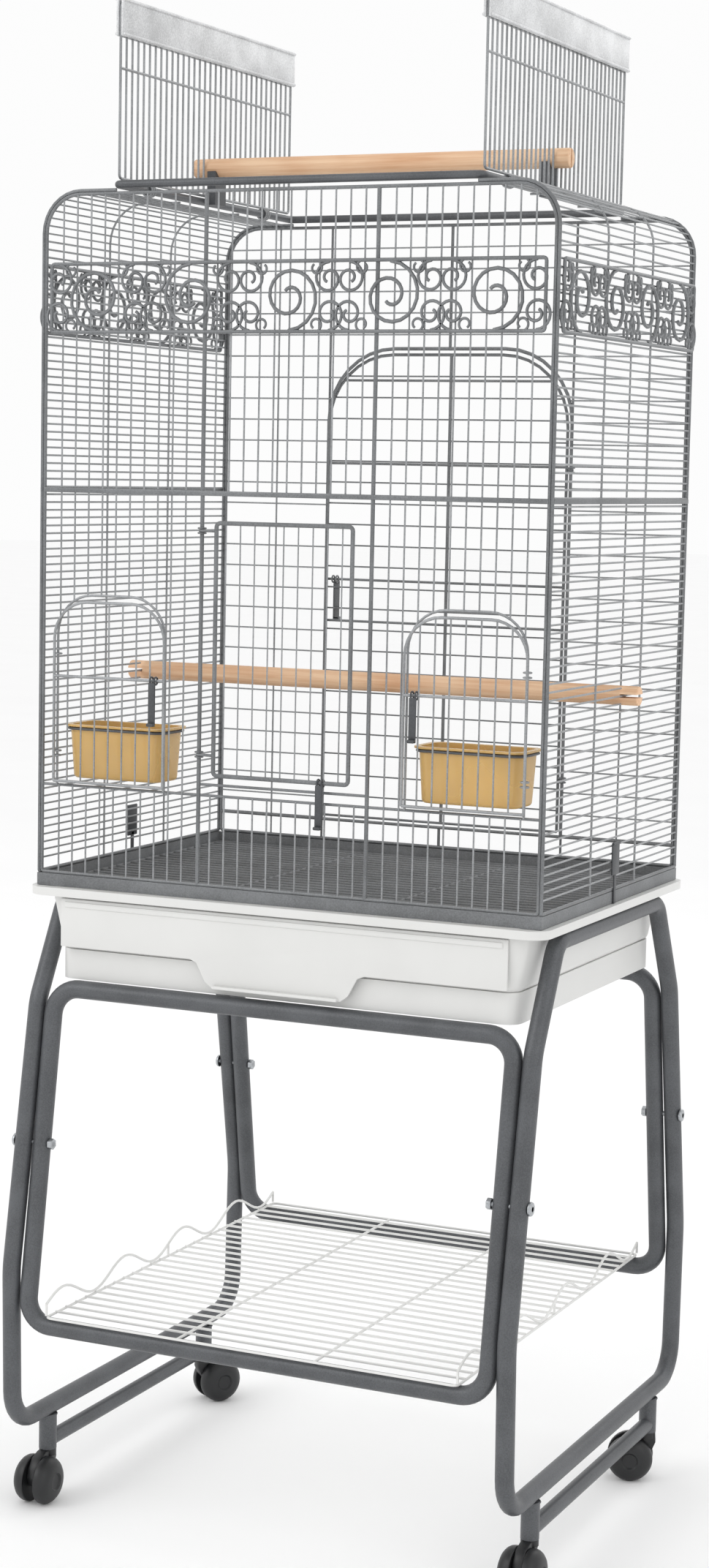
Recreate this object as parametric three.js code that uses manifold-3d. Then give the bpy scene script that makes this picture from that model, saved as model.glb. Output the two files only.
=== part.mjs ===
// Bird cage on a rolling stand: millimetres, +Z up, front towards -Y, origin on the floor under the middle.
import * as THREE from 'three';
import { mergeVertices } from 'three/addons/utils/BufferGeometryUtils.js';
import Module from 'manifold-3d';

const wasm = await Module();
wasm.setup();

// ---- driving sizes -------------------------------------------------------------------------------------------------
const GAP = 0.3;                    // air left between two pieces that touch
const CAGE_W = 559;                 // across the side walls, wire centre to wire centre
const CAGE_D = 402;                 // across the front and rear walls, wire centre to wire centre
const RIM_Z0 = 657.3;               // underside of the base pan's rim
const RIM_Z1 = RIM_Z0 + 8.7;        // top of the rim
const CAGE_Z = RIM_Z1 + 13.3;       // foot of the wire panels
const ROOF_Z = 1375;                // centre of the roof wires
const SEAM_Z = 1075;                // cross bar at half height
const SEAM_H = 5;
const SHOULDER_R = 42;              // bend between side wall and roof
const WIRE = 3;                     // wire thickness
const WIRE_PITCH = 16;              // spacing of the real wires
const MODEL_PITCH = 3 * WIRE_PITCH; // every third wire is modelled
const BAR = 4;                      // thicker frame wires
const HINGE_X = 198;                // roof flap hinge line
const RAIL_R = 4;                   // rods around the roof opening
const FLAP_H = 184;                 // flap, hinge line to free edge
const FLAP_WIRE = 2.5;
const FLAP_INSET = 9;               // flap shorter than the cage is deep, each end
const LIP_H = 38;                   // folded lip of a flap
const LIP_T = 8;
const LIP_INSET = 6;
const FLAP_BAR_Z = 115;             // cross wire of a flap, from its hinge line
const FLAP_RING_IN = 62;            // hinge rings from the ends of a flap
const BAND_Z0 = ROOF_Z - 141;       // scroll bands, lower and upper bar
const BAND_Z1 = ROOF_Z - 73;
const BAND_T = 2.5;
const BAND_IN_X = 9.5;              // bands shorter than the walls, each end: front, sides
const BAND_IN_Y = 5;
const SCROLLS_X = 5;                // scrolls of the front band, and of a side band
const SCROLLS_Y = 4;
const SCROLL_T = 2.8;               // width of the scroll's strip
const PERCH_R = 10;
const TOP_PERCH_RISE = 36;          // top perch above the hinge line
const TOP_PERCH_L = 2 * HINGE_X + 30;
const PERCH_Z = 878;                // inner perch
const PERCH_Y = 20;
const PERCH_L = CAGE_W + 33;
const KERF = WIRE + 2 * GAP;        // saw cut in the end of a perch that straddles a wire

const DOOR_X = 93.5;                // front door opening, half width
const DOOR_Z0 = 783;
const DOOR_STILE_X = 75;
const DOOR_Z1 = 1046;
const DOOR_RAIL_Z = 793;            // bottom rail of the front door
const FEEDER_W = 125;               // feeder opening
const FEEDER_X1 = CAGE_W / 2 - 20.5; // its outer and inner side
const FEEDER_X0 = FEEDER_X1 - FEEDER_W;
const FEEDER_Z0 = 772;
const FEEDER_Z1 = 967;
const FEEDER_R = 40;                // rounding of its head
const LATCH_Z = 885;                // cross bar of a feeder door that carries its latch
const REAR_X = 146.5;               // rear door opening, half width
const REAR_Z0 = 703;
const REAR_Z1 = 1235;
const REAR_R = 80;                  // rounding of the rear door's head
const REAR_LATCH_Z = 978;           // cross wire of the rear door that carries its latch
const DOOR_BACK = 3.2;              // from a hinge wire's centre to the back of its door
const REAR_SWING = 5;               // rear leaf past its hinge wire, so that it opens clear of the wall
const RING_IN = 2.9;                // hinge rings of the doors
const RING_OUT = 4.6;
const RING_W = 8;

const LEDGE_X = 8.5;                // rim of the base pan beyond the cage, each side
const LEDGE_Y = 13;
const BASE_W = CAGE_W + 2 * LEDGE_X; // base pan over its rim
const BASE_D = CAGE_D + 2 * LEDGE_Y;
const SKIRT_W = BASE_W - 43;        // pan below the rim
const SKIRT_D = BASE_D - 16;
const PAN_Z = 600;                  // underside of the pan's floor
const PAN_T = 3;
const TAPER = 0.96;                 // pan's foot against its head
const TRAY_W = SKIRT_W - 41;
const TRAY_H = 42;
const TONGUE_Z = 577;

const TUBE_R = 9.5;                 // stand tube
const TUBE_SIDES = 8;
const LOOP_X = BASE_W / 2 - 11;     // side loops, under the rim
const LOOP_TOP = RIM_Z0 - GAP - TUBE_R;
const CROSS_TOP = 560;              // upper crossbar
const PAN_FOOT = CROSS_TOP + TUBE_R + GAP; // skirt of the pan, standing on the crossbars
const LOOP_FOOT = 100;
const LOOP_TOP_IN = 51;             // corners of a side loop, inside or outside the wall line
const LOOP_NECK_OUT = 4;
const LOOP_NECK_Z = 545;
const LOOP_KNEE_OUT = 53;
const LOOP_KNEE_Z = 270;
const LOOP_FOOT_OUT = 49;
const LOOP_RADII = [25, 60, 120, 38]; // its bends, top to foot
const FRAME_X = LOOP_X - 2 * TUBE_R - GAP;
const CROSS_TOP_Y = CAGE_D / 2 + 1;
const CROSS_LOW = 215;              // lower crossbar
const CROSS_LOW_Y = CAGE_D / 2 + 54;
const FRAME_BEND = 28;              // corner bends of the stand frames
const SHELF_PITCH = 20;             // spacing of the real shelf wires
const SHELF_WAVES = 4;              // waves of the shelf's end rails
const SHELF_WAVE_H = 10;            // half their height
const BOLT_Z = 400;
const BOLT_Y = CAGE_D / 2 + 27.5;
const BOLT_R = 3;

const WHEEL_R = 25;
const STEM_R = 5;
const STEM_Y = CAGE_D / 2 - 23;     // caster stems from the middle
const TRAIL = 18;                   // wheel axle behind the stem
const POST_FOOT = 54;               // lower end of the caster posts
const RAIL_Z = 62.5;                // bar between two caster posts
const RAIL_BAR_R = 8;
const FORK_W = 12;                  // fork between its two wheels
const WHEEL_OUT = 22;               // outer face of a wheel from the fork's middle

const FRAME_IN = 3;                // bottom ring inside the wall line, and the grate inside the ring
const GRATE_IN = 5;
const CLIP_W = 20;                  // clips that hold the cage on its base
const CLIP_T = 3;
const CLIP_TOP = 730;

const CUP_W = 118;
const CUP_D = 62;
const CUP_Z0 = 779;
const CUP_Z1 = 835;
const CUP_X = (FEEDER_X0 + FEEDER_X1) / 2;

// ---- materials -----------------------------------------------------------------------------------------------------
function material(name, colour, roughness, metalness) {
  const m = new THREE.MeshStandardMaterial({ color: colour, roughness, metalness });
  m.name = name;
  return m;
}
const PEWTER = material('pewter_coat', 0x75777a, 0.5, 0.6);
const WIRE_COAT = material('wire_coat', 0xa9abad, 0.5, 0.5);
const DARK = material('dark_fitting', 0x3a3c40, 0.5, 0.4);
const WHITE = material('white_plastic', 0xe8e8e6, 0.45, 0);
const SHELF = material('white_wire', 0xf0f0ee, 0.4, 0.1);
const WOOD = material('perch_wood', 0xcf9a6c, 0.65, 0);
const AMBER = material('amber_plastic', 0xe3b92e, 0.3, 0);
const BLACK = material('caster_black', 0x151517, 0.4, 0);
const ZINC = material('zinc_bolt', 0xb9bcc0, 0.35, 0.9);

// ---- helpers -------------------------------------------------------------------------------------------------------
function body(geometry) {
  const bare = geometry.clone();
  bare.deleteAttribute('normal');
  bare.deleteAttribute('uv');
  const g = mergeVertices(bare, 1e-4);
  const soup = new wasm.Mesh({
    numProp: 3,
    vertProperties: new Float32Array(g.attributes.position.array),
    triVerts: new Uint32Array(g.index.array),
  });
  return new wasm.Manifold(soup);
}

function join(...pieces) {
  return pieces.flat().reduce((all, piece) => all.add(piece));
}

function meshOf(name, solid, mat) {
  const data = solid.getMesh();
  const g = new THREE.BufferGeometry();
  g.setAttribute('position', new THREE.BufferAttribute(new Float32Array(data.vertProperties), 3));
  g.setIndex(new THREE.BufferAttribute(new Uint32Array(data.triVerts), 1));
  g.computeVertexNormals();
  const mesh = new THREE.Mesh(g, mat);
  mesh.name = name;
  return mesh;
}

// A block from one corner to the other.
function block(x0, x1, y0, y1, z0, z1) {
  const g = new THREE.BoxGeometry(x1 - x0, y1 - y0, z1 - z0);
  return body(g.translate((x0 + x1) / 2, (y0 + y1) / 2, (z0 + z1) / 2));
}

// A round bar along one axis, centred at a point.
function bar(axis, radius, length, x, y, z, sides = 12) {
  const g = new THREE.CylinderGeometry(radius, radius, length, sides);
  if (axis === 'x') g.rotateZ(Math.PI / 2);
  if (axis === 'z') g.rotateX(Math.PI / 2);
  return body(g.translate(x, y, z));
}

function rectangle(x0, x1, z0, z1) {
  return [[x0, z0], [x1, z0], [x1, z1], [x0, z1]];
}

function asShape(points) {
  return new THREE.Shape(points.map(([x, y]) => new THREE.Vector2(x, y)));
}

function slab(points, z0, z1) {
  const g = new THREE.ExtrudeGeometry(asShape(points), { depth: z1 - z0, bevelEnabled: false });
  return body(g.translate(0, 0, z0));
}

// A flat sheet drawn in X and Y, lying between z0 and z1, with its holes cut through.
function lyingSheet(points, holes, z0, z1) {
  const sheet = slab(points, z0, z1);
  return holes.length > 0 ? sheet.subtract(join(holes.map((hole) => slab(hole, z0 - 1, z1 + 1)))) : sheet;
}

// A flat sheet drawn in X and Z, standing upright between y0 and y1.
function uprightSheet(points, holes, y0, y1) {
  return lyingSheet(points, holes, 0, y1 - y0).rotate([90, 0, 0]).translate([0, y1, 0]);
}

// A flat sheet drawn in Y and Z, standing upright between x0 and x1.
function sideSheet(points, holes, x0, x1) {
  return lyingSheet(points, holes, 0, x1 - x0).rotate([90, 0, 90]).translate([x0, 0, 0]);
}

function arc(cx, cy, r, from, to, steps) {
  const points = [];
  for (let i = 0; i <= steps; i += 1) {
    const a = THREE.MathUtils.degToRad(from + ((to - from) * i) / steps);
    points.push([cx + r * Math.cos(a), cy + r * Math.sin(a)]);
  }
  return points;
}

function roundedRectangle(halfX, halfY, r, steps = 3) {
  return [
    ...arc(halfX - r, halfY - r, r, 0, 90, steps),
    ...arc(-halfX + r, halfY - r, r, 90, 180, steps),
    ...arc(-halfX + r, -halfY + r, r, 180, 270, steps),
    ...arc(halfX - r, -halfY + r, r, 270, 360, steps),
  ];
}

// The panes left between crossing wires: us and vs are wire centres.
function panes(us, vs, wireU = WIRE, wireV = WIRE) {
  const out = [];
  for (let i = 0; i + 1 < us.length; i += 1) {
    for (let j = 0; j + 1 < vs.length; j += 1) {
      out.push(rectangle(us[i] + wireU / 2, us[i + 1] - wireU / 2, vs[j] + wireV / 2, vs[j + 1] - wireV / 2));
    }
  }
  return out;
}

// The height of a round-shouldered head at x.
function headAt(x, half, top, r) {
  const over = Math.abs(x) - (half - r);
  return over <= 0 ? top : top - r + Math.sqrt(Math.max(r * r - over * over, 0));
}

// One pane between two upright wires; its foot and its head may follow a curve.
function curvedPane(x0, x1, foot, head) {
  const edge = (f, from, to) => {
    const n = Math.abs(f(from) - f(to)) < 0.01 ? 1 : 3;
    return Array.from({ length: n + 1 }, (_, i) => from + ((to - from) * i) / n).map((x) => [x, f(x)]);
  };
  return [...edge(foot, x0, x1), ...edge(head, x1, x0)];
}

// Panes side by side between upright wires, with a curved foot or head.
function curvedPanes(us, foot, head, wire = WIRE) {
  return us.slice(1).map((u, i) => curvedPane(us[i] + wire / 2, u - wire / 2, foot, head));
}

function thirds(half) {
  return [-half, -half / 3, half / 3, half];
}

function spread(from, to, pitch, edge = 8) {
  const lines = [from];
  for (let x = Math.ceil(from / pitch) * pitch; x < to; x += pitch) {
    if (x - from > edge && to - x > edge) lines.push(x);
  }
  lines.push(to);
  return lines;
}

// A path through given points: one ring of the tube stands at every point.
class RodPath extends THREE.Curve {
  constructor(points) {
    super();
    this.points = points;
  }

  getPoint(t) {
    const n = this.points.length - 1;
    const i = Math.min(Math.floor(t * n + 1e-9), n - 1);
    return this.points[i].clone().lerp(this.points[i + 1], Math.min(t * n - i, 1));
  }

  getPointAt(u) {
    return this.getPoint(u);
  }

  getTangentAt(u) {
    const n = this.points.length - 1;
    const i = Math.round(u * n);
    const before = this.points[Math.max(i - 1, 0)];
    const after = this.points[Math.min(i + 1, n)];
    return after.clone().sub(before).normalize();
  }
}

// Corner points turned into a path with round bends.
function bends(corners, radii, steps) {
  const out = [corners[0].clone()];
  for (let i = 1; i + 1 < corners.length; i += 1) {
    const a = corners[i - 1].clone().sub(corners[i]).normalize();
    const b = corners[i + 1].clone().sub(corners[i]).normalize();
    const half = a.angleTo(b) / 2;
    const r = radii[i - 1];
    const reach = r / Math.tan(half);
    const middle = corners[i].clone().add(a.clone().add(b).normalize().multiplyScalar(r / Math.sin(half)));
    const start = corners[i].clone().addScaledVector(a, reach).sub(middle);
    const end = corners[i].clone().addScaledVector(b, reach).sub(middle);
    const sweep = start.angleTo(end);
    for (let k = 0; k <= steps; k += 1) {
      const t = k / steps;
      const p = start.clone().multiplyScalar(Math.sin((1 - t) * sweep));
      p.addScaledVector(end, Math.sin(t * sweep)).divideScalar(Math.sin(sweep));
      out.push(p.add(middle));
    }
  }
  out.push(corners[corners.length - 1].clone());
  return out;
}

function tube(points, radius, sides) {
  const ring = arc(0, 0, radius, 0, 360 - 360 / sides, sides - 1);
  const g = new THREE.ExtrudeGeometry(asShape(ring), {
    steps: points.length - 1,
    bevelEnabled: false,
    extrudePath: new RodPath(points),
  });
  return body(g);
}

const v3 = (x, y, z) => new THREE.Vector3(x, y, z);

// ---- stand ---------------------------------------------------------------------------------------------------------
function sideLoop(side) {
  const x = side * LOOP_X;
  const wall = CAGE_D / 2;
  const half = (s) => [
    v3(x, s * (wall - LOOP_TOP_IN), LOOP_TOP),
    v3(x, s * (wall + LOOP_NECK_OUT), LOOP_NECK_Z),
    v3(x, s * (wall + LOOP_KNEE_OUT), LOOP_KNEE_Z),
    v3(x, s * (wall + LOOP_FOOT_OUT), LOOP_FOOT),
  ];
  const top = v3(x, 0, LOOP_TOP);
  const foot = v3(x, 0, LOOP_FOOT);
  const halves = [1, -1].map((s) => {
    const over = v3(0, -s, 0);
    const corners = [top.clone().add(over), ...half(s), foot.clone().add(over)];
    return tube(bends(corners, LOOP_RADII, 3), TUBE_R, TUBE_SIDES);
  });
  return join(halves).subtract(boltHoles());
}

function boltHoles() {
  return join([-1, 1].flatMap((sx) => [-1, 1].map((sy) => (
    bar('x', BOLT_R + GAP, 60, sx * (LOOP_X - TUBE_R), sy * BOLT_Y, BOLT_Z, 6)
  ))));
}

function endFrame(s) {
  const corners = (sx) => [
    v3(sx * FRAME_X, s * CROSS_TOP_Y, CROSS_TOP),
    v3(sx * FRAME_X, s * CROSS_LOW_Y, CROSS_LOW),
  ];
  const halves = [1, -1].map((sx) => {
    const top = v3(-sx, s * CROSS_TOP_Y, CROSS_TOP);
    const low = v3(-sx, s * CROSS_LOW_Y, CROSS_LOW);
    return tube(bends([top, ...corners(sx), low], [FRAME_BEND, FRAME_BEND], 3), TUBE_R, TUBE_SIDES);
  });
  return join(halves).subtract(boltHoles());
}

function casterRail(side) {
  const x = side * LOOP_X;
  const top = LOOP_FOOT - TUBE_R - GAP;
  const posts = [-1, 1].map((s) => bar('z', TUBE_R, top - POST_FOOT, x, s * STEM_Y, (top + POST_FOOT) / 2, 8));
  const sockets = [-1, 1].map((s) => bar('z', STEM_R + 3 * GAP, 50, x, s * STEM_Y, POST_FOOT, 8));
  return join(posts, bar('y', RAIL_BAR_R, 2 * STEM_Y, x, 0, RAIL_Z, 8)).subtract(join(sockets));
}

const SHELF_X = FRAME_X - FRAME_BEND + GAP; // half lengths of the shelf, to its outer wires
const SHELF_Y = CROSS_LOW_Y + 8;
const SHELF_Z = CROSS_LOW + TUBE_R + GAP;

// The shelf's floor lies over both lower crossbars.
function shelfFloor() {
  const outX = SHELF_X + WIRE / 2;
  const outY = SHELF_Y + WIRE / 2;
  const holes = panes(thirds(SHELF_X), spread(-SHELF_Y, SHELF_Y, 3 * SHELF_PITCH));
  return lyingSheet(rectangle(-outX, outX, -outY, outY), holes, SHELF_Z, SHELF_Z + WIRE);
}

// A rail that stands on each end of the floor and rises and falls in a wave.
function shelfRail(side) {
  const foot = SHELF_Z + WIRE + GAP;
  const steps = SHELF_WAVES * 4;
  const crest = [];
  for (let i = 0; i <= steps; i += 1) {
    const t = i / steps;
    const rise = SHELF_WAVE_H * (1 + Math.sin(t * SHELF_WAVES * 2 * Math.PI));
    crest.push([SHELF_Y * (2 * t - 1), foot + 1.4 * WIRE + rise]);
  }
  const under = crest.map(([y, h]) => [y, h - WIRE * 1.4]).reverse();
  const x0 = side * SHELF_X - WIRE / 2;
  const wave = sideSheet([...crest, ...under], [], x0, x0 + WIRE);
  const legs = [WIRE / 2 - SHELF_Y, 0, SHELF_Y - WIRE / 2].map((y) => (
    block(x0, x0 + WIRE, y - WIRE / 2, y + WIRE / 2, foot, foot + SHELF_WAVE_H + WIRE)
  ));
  return join(wave, legs);
}

function frameBolt(sx, sy) {
  const head = 3;
  const outer = LOOP_X + TUBE_R + GAP;
  const inner = FRAME_X - TUBE_R - GAP;
  const shank = bar('x', BOLT_R - GAP, outer - inner + 2, (sx * (outer + inner)) / 2, 0, 0, 6);
  const cap = bar('x', 7, head, sx * (outer + head / 2), 0, 0, 8);
  const nut = bar('x', 6, 5, sx * (inner - 2.5), 0, 0, 6);
  return join(shank, cap, nut).translate([0, sy * BOLT_Y, BOLT_Z]);
}

// ---- casters -------------------------------------------------------------------------------------------------------
function casterFork() {
  const cheek = [
    [-9, 53.5], [-9, 43], [-6, 34], [6, 15], [12, 11], [20, 10], [28, 14], [33, 25], [32, 38], [24, 49], [14, 53.5],
  ];
  const eye = arc(TRAIL, WHEEL_R, 4.5 + GAP, 0, 315, 7);
  const web = uprightSheet(cheek, [eye], -FORK_W / 2, FORK_W / 2);
  const cap = bar('z', 9, 4, 0, 0, 51.5, 8);
  return join(web, cap, bar('z', STEM_R, 26, 0, 0, 63, 8));
}

function casterWheels() {
  const inner = FORK_W / 2 + 0.4;
  const half = [[4, inner], [WHEEL_R, inner], [WHEEL_R, 9], [22, 16], [14, WHEEL_OUT], [0, WHEEL_OUT]];
  const profile = [...half.map(([r, y]) => [r, -y]).reverse(), ...half];
  return body(new THREE.LatheGeometry(profile.map(([r, y]) => new THREE.Vector2(r, y)), 16));
}

// ---- base ----------------------------------------------------------------------------------------------------------
function tapered(solid) {
  return solid.warp((p) => {
    const t = Math.min(Math.max((RIM_Z0 - p[2]) / (RIM_Z0 - PAN_Z), 0), 1);
    const k = 1 - (1 - TAPER) * t;
    p[0] *= k;
    p[1] *= k;
  });
}

function basePan() {
  const rim = lyingSheet(
    roundedRectangle(BASE_W / 2, BASE_D / 2, 14),
    [roundedRectangle(SKIRT_W / 2 - PAN_T - 5, SKIRT_D / 2 - PAN_T - 5, 10)],
    RIM_Z0,
    RIM_Z1,
  );
  const outer = roundedRectangle(SKIRT_W / 2, SKIRT_D / 2, 16);
  const inner = roundedRectangle(SKIRT_W / 2 - PAN_T, SKIRT_D / 2 - PAN_T, 14);
  const skirt = tapered(lyingSheet(outer, [inner], PAN_Z + PAN_T, RIM_Z0));
  const floor = lyingSheet(
    roundedRectangle((SKIRT_W / 2) * TAPER, (SKIRT_D / 2) * TAPER, 16),
    [],
    PAN_Z,
    PAN_Z + PAN_T + 0.4,
  );
  const foot = lyingSheet(
    roundedRectangle((SKIRT_W / 2) * TAPER, (SKIRT_D / 2) * TAPER, 16),
    [roundedRectangle((SKIRT_W / 2) * TAPER - PAN_T, (SKIRT_D / 2) * TAPER - PAN_T, 13)],
    PAN_FOOT,
    PAN_Z,
  );
  const mouth = block(-TRAY_W / 2 - 4, TRAY_W / 2 + 4, -BASE_D, -SKIRT_D / 2 + 25, PAN_Z + PAN_T + 0.4, RIM_Z0 - 2);
  return join(rim, skirt, floor, foot).subtract(mouth);
}

// The tray fills the mouth of the pan with its front, whose middle hangs down as a pull.
function tray() {
  const z0 = PAN_Z + PAN_T + 0.4 + GAP;
  const half = TRAY_W / 2;
  const y0 = -SKIRT_D / 2 - 1;
  const back = SKIRT_D / 2 - 24;
  const shell = block(-half + 6, half - 6, y0 + 1, back, z0, z0 + TRAY_H);
  const hollow = block(-half + 8.5, half - 8.5, y0 + PAN_T, back - 2.5, z0 + 2.5, z0 + TRAY_H + 1);
  const front = uprightSheet([
    [-half - 3, z0 + 1], [-92, z0 + 1], [-80, TONGUE_Z + 5], [-74, TONGUE_Z], [74, TONGUE_Z], [80, TONGUE_Z + 5],
    [92, z0 + 1], [half + 3, z0 + 1], [half + 3, RIM_Z0 - 2 - GAP], [-half - 3, RIM_Z0 - 2 - GAP],
  ], [], y0 - 1, y0 + PAN_T - 1);
  return join(shell.subtract(hollow), front);
}

function bottomFrame() {
  const outX = (CAGE_W + WIRE) / 2;
  const outY = (CAGE_D + WIRE) / 2;
  const outer = rectangle(-outX, outX, -outY, outY);
  const inX = CAGE_W / 2 - FRAME_IN;
  const inY = CAGE_D / 2 - FRAME_IN;
  const inner = rectangle(-inX, inX, -inY, inY);
  return lyingSheet(outer, [inner], RIM_Z1 + GAP, CAGE_Z - GAP);
}

function floorGrate() {
  const halfX = CAGE_W / 2 - GRATE_IN;
  const halfY = CAGE_D / 2 - GRATE_IN;
  const outX = halfX + WIRE / 2;
  const outY = halfY + WIRE / 2;
  const outline = rectangle(-outX, outX, -outY, outY);
  const holes = panes(thirds(halfX), spread(-halfY, halfY, MODEL_PITCH));
  return lyingSheet(outline, holes, RIM_Z1 + GAP, RIM_Z1 + GAP + WIRE);
}

function sideClip(side) {
  const x = (CAGE_W + WIRE) / 2 + GAP;
  const x0 = side > 0 ? x : -x - CLIP_T;
  return block(x0, x0 + CLIP_T, -CLIP_W / 2, CLIP_W / 2, RIM_Z1 + GAP, CLIP_TOP);
}

// ---- wire panels ---------------------------------------------------------------------------------------------------
const PANEL_X = (CAGE_W - WIRE) / 2 - GAP; // outer edge of the front and rear panels
const EDGE_X = PANEL_X - WIRE / 2;
const PANEL_TOP = ROOF_Z - WIRE / 2 - GAP;
const TOP_LINE = PANEL_TOP - WIRE / 2;

function panelOutline() {
  const r = SHOULDER_R - WIRE / 2 - GAP;
  return [
    [-PANEL_X, CAGE_Z],
    [PANEL_X, CAGE_Z],
    ...arc(PANEL_X - r, PANEL_TOP - r, r, 0, 90, 4),
    ...arc(-PANEL_X + r, PANEL_TOP - r, r, 90, 180, 4),
  ];
}

// The underside of the panel's top edge, which rounds down at both shoulders.
function underShoulder(x) {
  const r = SHOULDER_R - WIRE / 2 - GAP;
  return headAt(x, PANEL_X - WIRE, PANEL_TOP - WIRE, r - WIRE);
}

function arched(x0, x1, z0, z1, r) {
  return [[x0, z0], [x1, z0], ...arc(x1 - r, z1 - r, r, 0, 90, 4), ...arc(x0 + r, z1 - r, r, 90, 180, 4)];
}

function frontPanel() {
  const low = CAGE_Z + WIRE / 2;
  const seamLow = SEAM_Z - SEAM_H / 2;
  const sill = FEEDER_Z0 + WIRE / 2;
  const feederX = [0, 1, 2, 3, 4].map((i) => FEEDER_X0 + (i * FEEDER_W) / 4);
  const halfFeeder = (FEEDER_W - WIRE) / 2;
  const holes = [
    ...panes(spread(-EDGE_X, EDGE_X, MODEL_PITCH), [low, FEEDER_Z0]),
    ...curvedPanes(spread(-EDGE_X, EDGE_X, MODEL_PITCH), () => SEAM_Z + SEAM_H / 2, underShoulder),
    rectangle(-DOOR_X + BAR / 2, DOOR_X - BAR / 2, DOOR_Z0 + WIRE / 2, seamLow),
    rectangle(-DOOR_X + BAR / 2, DOOR_X - BAR / 2, sill, DOOR_Z0 - WIRE / 2),
  ];
  for (const s of [-1, 1]) {
    const mirrored = (list) => list.map((x) => s * x).sort((a, b) => a - b);
    const [f0, f1] = mirrored([FEEDER_X0 + WIRE / 2, FEEDER_X1 - WIRE / 2]);
    const [g0, g1] = mirrored([DOOR_X + BAR / 2, FEEDER_X0 - WIRE / 2]);
    const [h0, h1] = mirrored([FEEDER_X1 + WIRE / 2, EDGE_X - WIRE / 2]);
    const overArch = (x) => headAt(x - s * CUP_X, halfFeeder + WIRE, FEEDER_Z1 + WIRE, FEEDER_R + WIRE);
    holes.push(arched(f0, f1, sill, FEEDER_Z1, FEEDER_R));
    holes.push(rectangle(g0, g1, sill, seamLow), rectangle(h0, h1, sill, seamLow));
    holes.push(...curvedPanes(mirrored(feederX), overArch, () => seamLow));
  }
  return uprightSheet(panelOutline(), holes, -CAGE_D / 2 - WIRE / 2, -CAGE_D / 2 + WIRE / 2);
}

// A sheet of crossing wires inside a solid edge: us and vs are wire centres.
function meshSheet(outline, inside, us, vs, y0, y1) {
  const open = uprightSheet(inside, [], y0 - 1, y1 + 1);
  const gaps = join(panes(us, vs).map((pane) => uprightSheet(pane, [], y0 - 1, y1 + 1)));
  return uprightSheet(outline, [], y0, y1).subtract(gaps.intersect(open));
}

function levels(from, to) {
  const count = Math.round((to - from) / MODEL_PITCH);
  return Array.from({ length: count + 1 }, (_, i) => from + ((to - from) * i) / count);
}

// Cross wires stand one above the other between a few uprights.
function rearPanel() {
  const y0 = CAGE_D / 2 - WIRE / 2;
  const y1 = CAGE_D / 2 + WIRE / 2;
  const half = REAR_X - BAR / 2;
  const r = SHOULDER_R - WIRE / 2 - GAP - WIRE;
  const inX = PANEL_X - WIRE;
  const inTop = PANEL_TOP - WIRE;
  const inside = arched(-inX, inX, CAGE_Z + WIRE, inTop, r);
  const side = (REAR_X + EDGE_X) / 2;
  const us = [-EDGE_X, -side, -REAR_X, 0, REAR_X, side, EDGE_X];
  const way = arched(-half, half, REAR_Z0 + WIRE / 2, REAR_Z1, REAR_R);
  const edge = arched(-half - BAR, half + BAR, REAR_Z0 - WIRE / 2, REAR_Z1 + BAR, REAR_R + BAR);
  const grid = meshSheet(panelOutline(), inside, us, levels(CAGE_Z + WIRE / 2, TOP_LINE), y0, y1);
  return grid.add(uprightSheet(edge, [], y0, y1)).subtract(uprightSheet(way, [], y0 - 1, y1 + 1));
}

// A side wall that bends over at the top and ends under the hinge rail.
function sidePanel(side) {
  const x = CAGE_W / 2;
  const halfY = CAGE_D / 2;
  const bendZ = ROOF_Z - SHOULDER_R;
  const ys = thirds(halfY);
  const zs = [CAGE_Z + WIRE / 2];
  for (let z = PERCH_Z - 3 * MODEL_PITCH; z < bendZ; z += MODEL_PITCH) zs.push(z);
  zs.push(bendZ);
  const outline = rectangle(-halfY - WIRE / 2, halfY + WIRE / 2, CAGE_Z, bendZ + WIRE / 2);
  const wall = sideSheet(outline, panes(ys, zs), x - WIRE / 2, x + WIRE / 2);
  const centreX = x - SHOULDER_R;
  const hoop = [
    ...arc(centreX, bendZ, SHOULDER_R + WIRE / 2, 0, 90, 4),
    [HINGE_X - 2, ROOF_Z + WIRE / 2],
    [HINGE_X - 2, ROOF_Z - WIRE / 2],
    ...arc(centreX, bendZ, SHOULDER_R - WIRE / 2, 90, 0, 4),
  ];
  const hoops = ys.map((y) => uprightSheet(hoop, [], y - WIRE / 2, y + WIRE / 2));
  const [[midX, midZ]] = arc(centreX, bendZ, SHOULDER_R, 45, 45, 1);
  const across = bar('y', WIRE / 2, CAGE_D, midX, 0, midZ, 4);
  const flat = bar('y', WIRE / 2, CAGE_D, centreX, 0, ROOF_Z, 4);
  const seam = block(x - 1.2, x + 2.4, -halfY, halfY, SEAM_Z - SEAM_H / 2, SEAM_Z + SEAM_H / 2);
  const panel = join(wall, hoops, across, flat, seam);
  return side > 0 ? panel : panel.mirror([1, 0, 0]);
}

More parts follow.
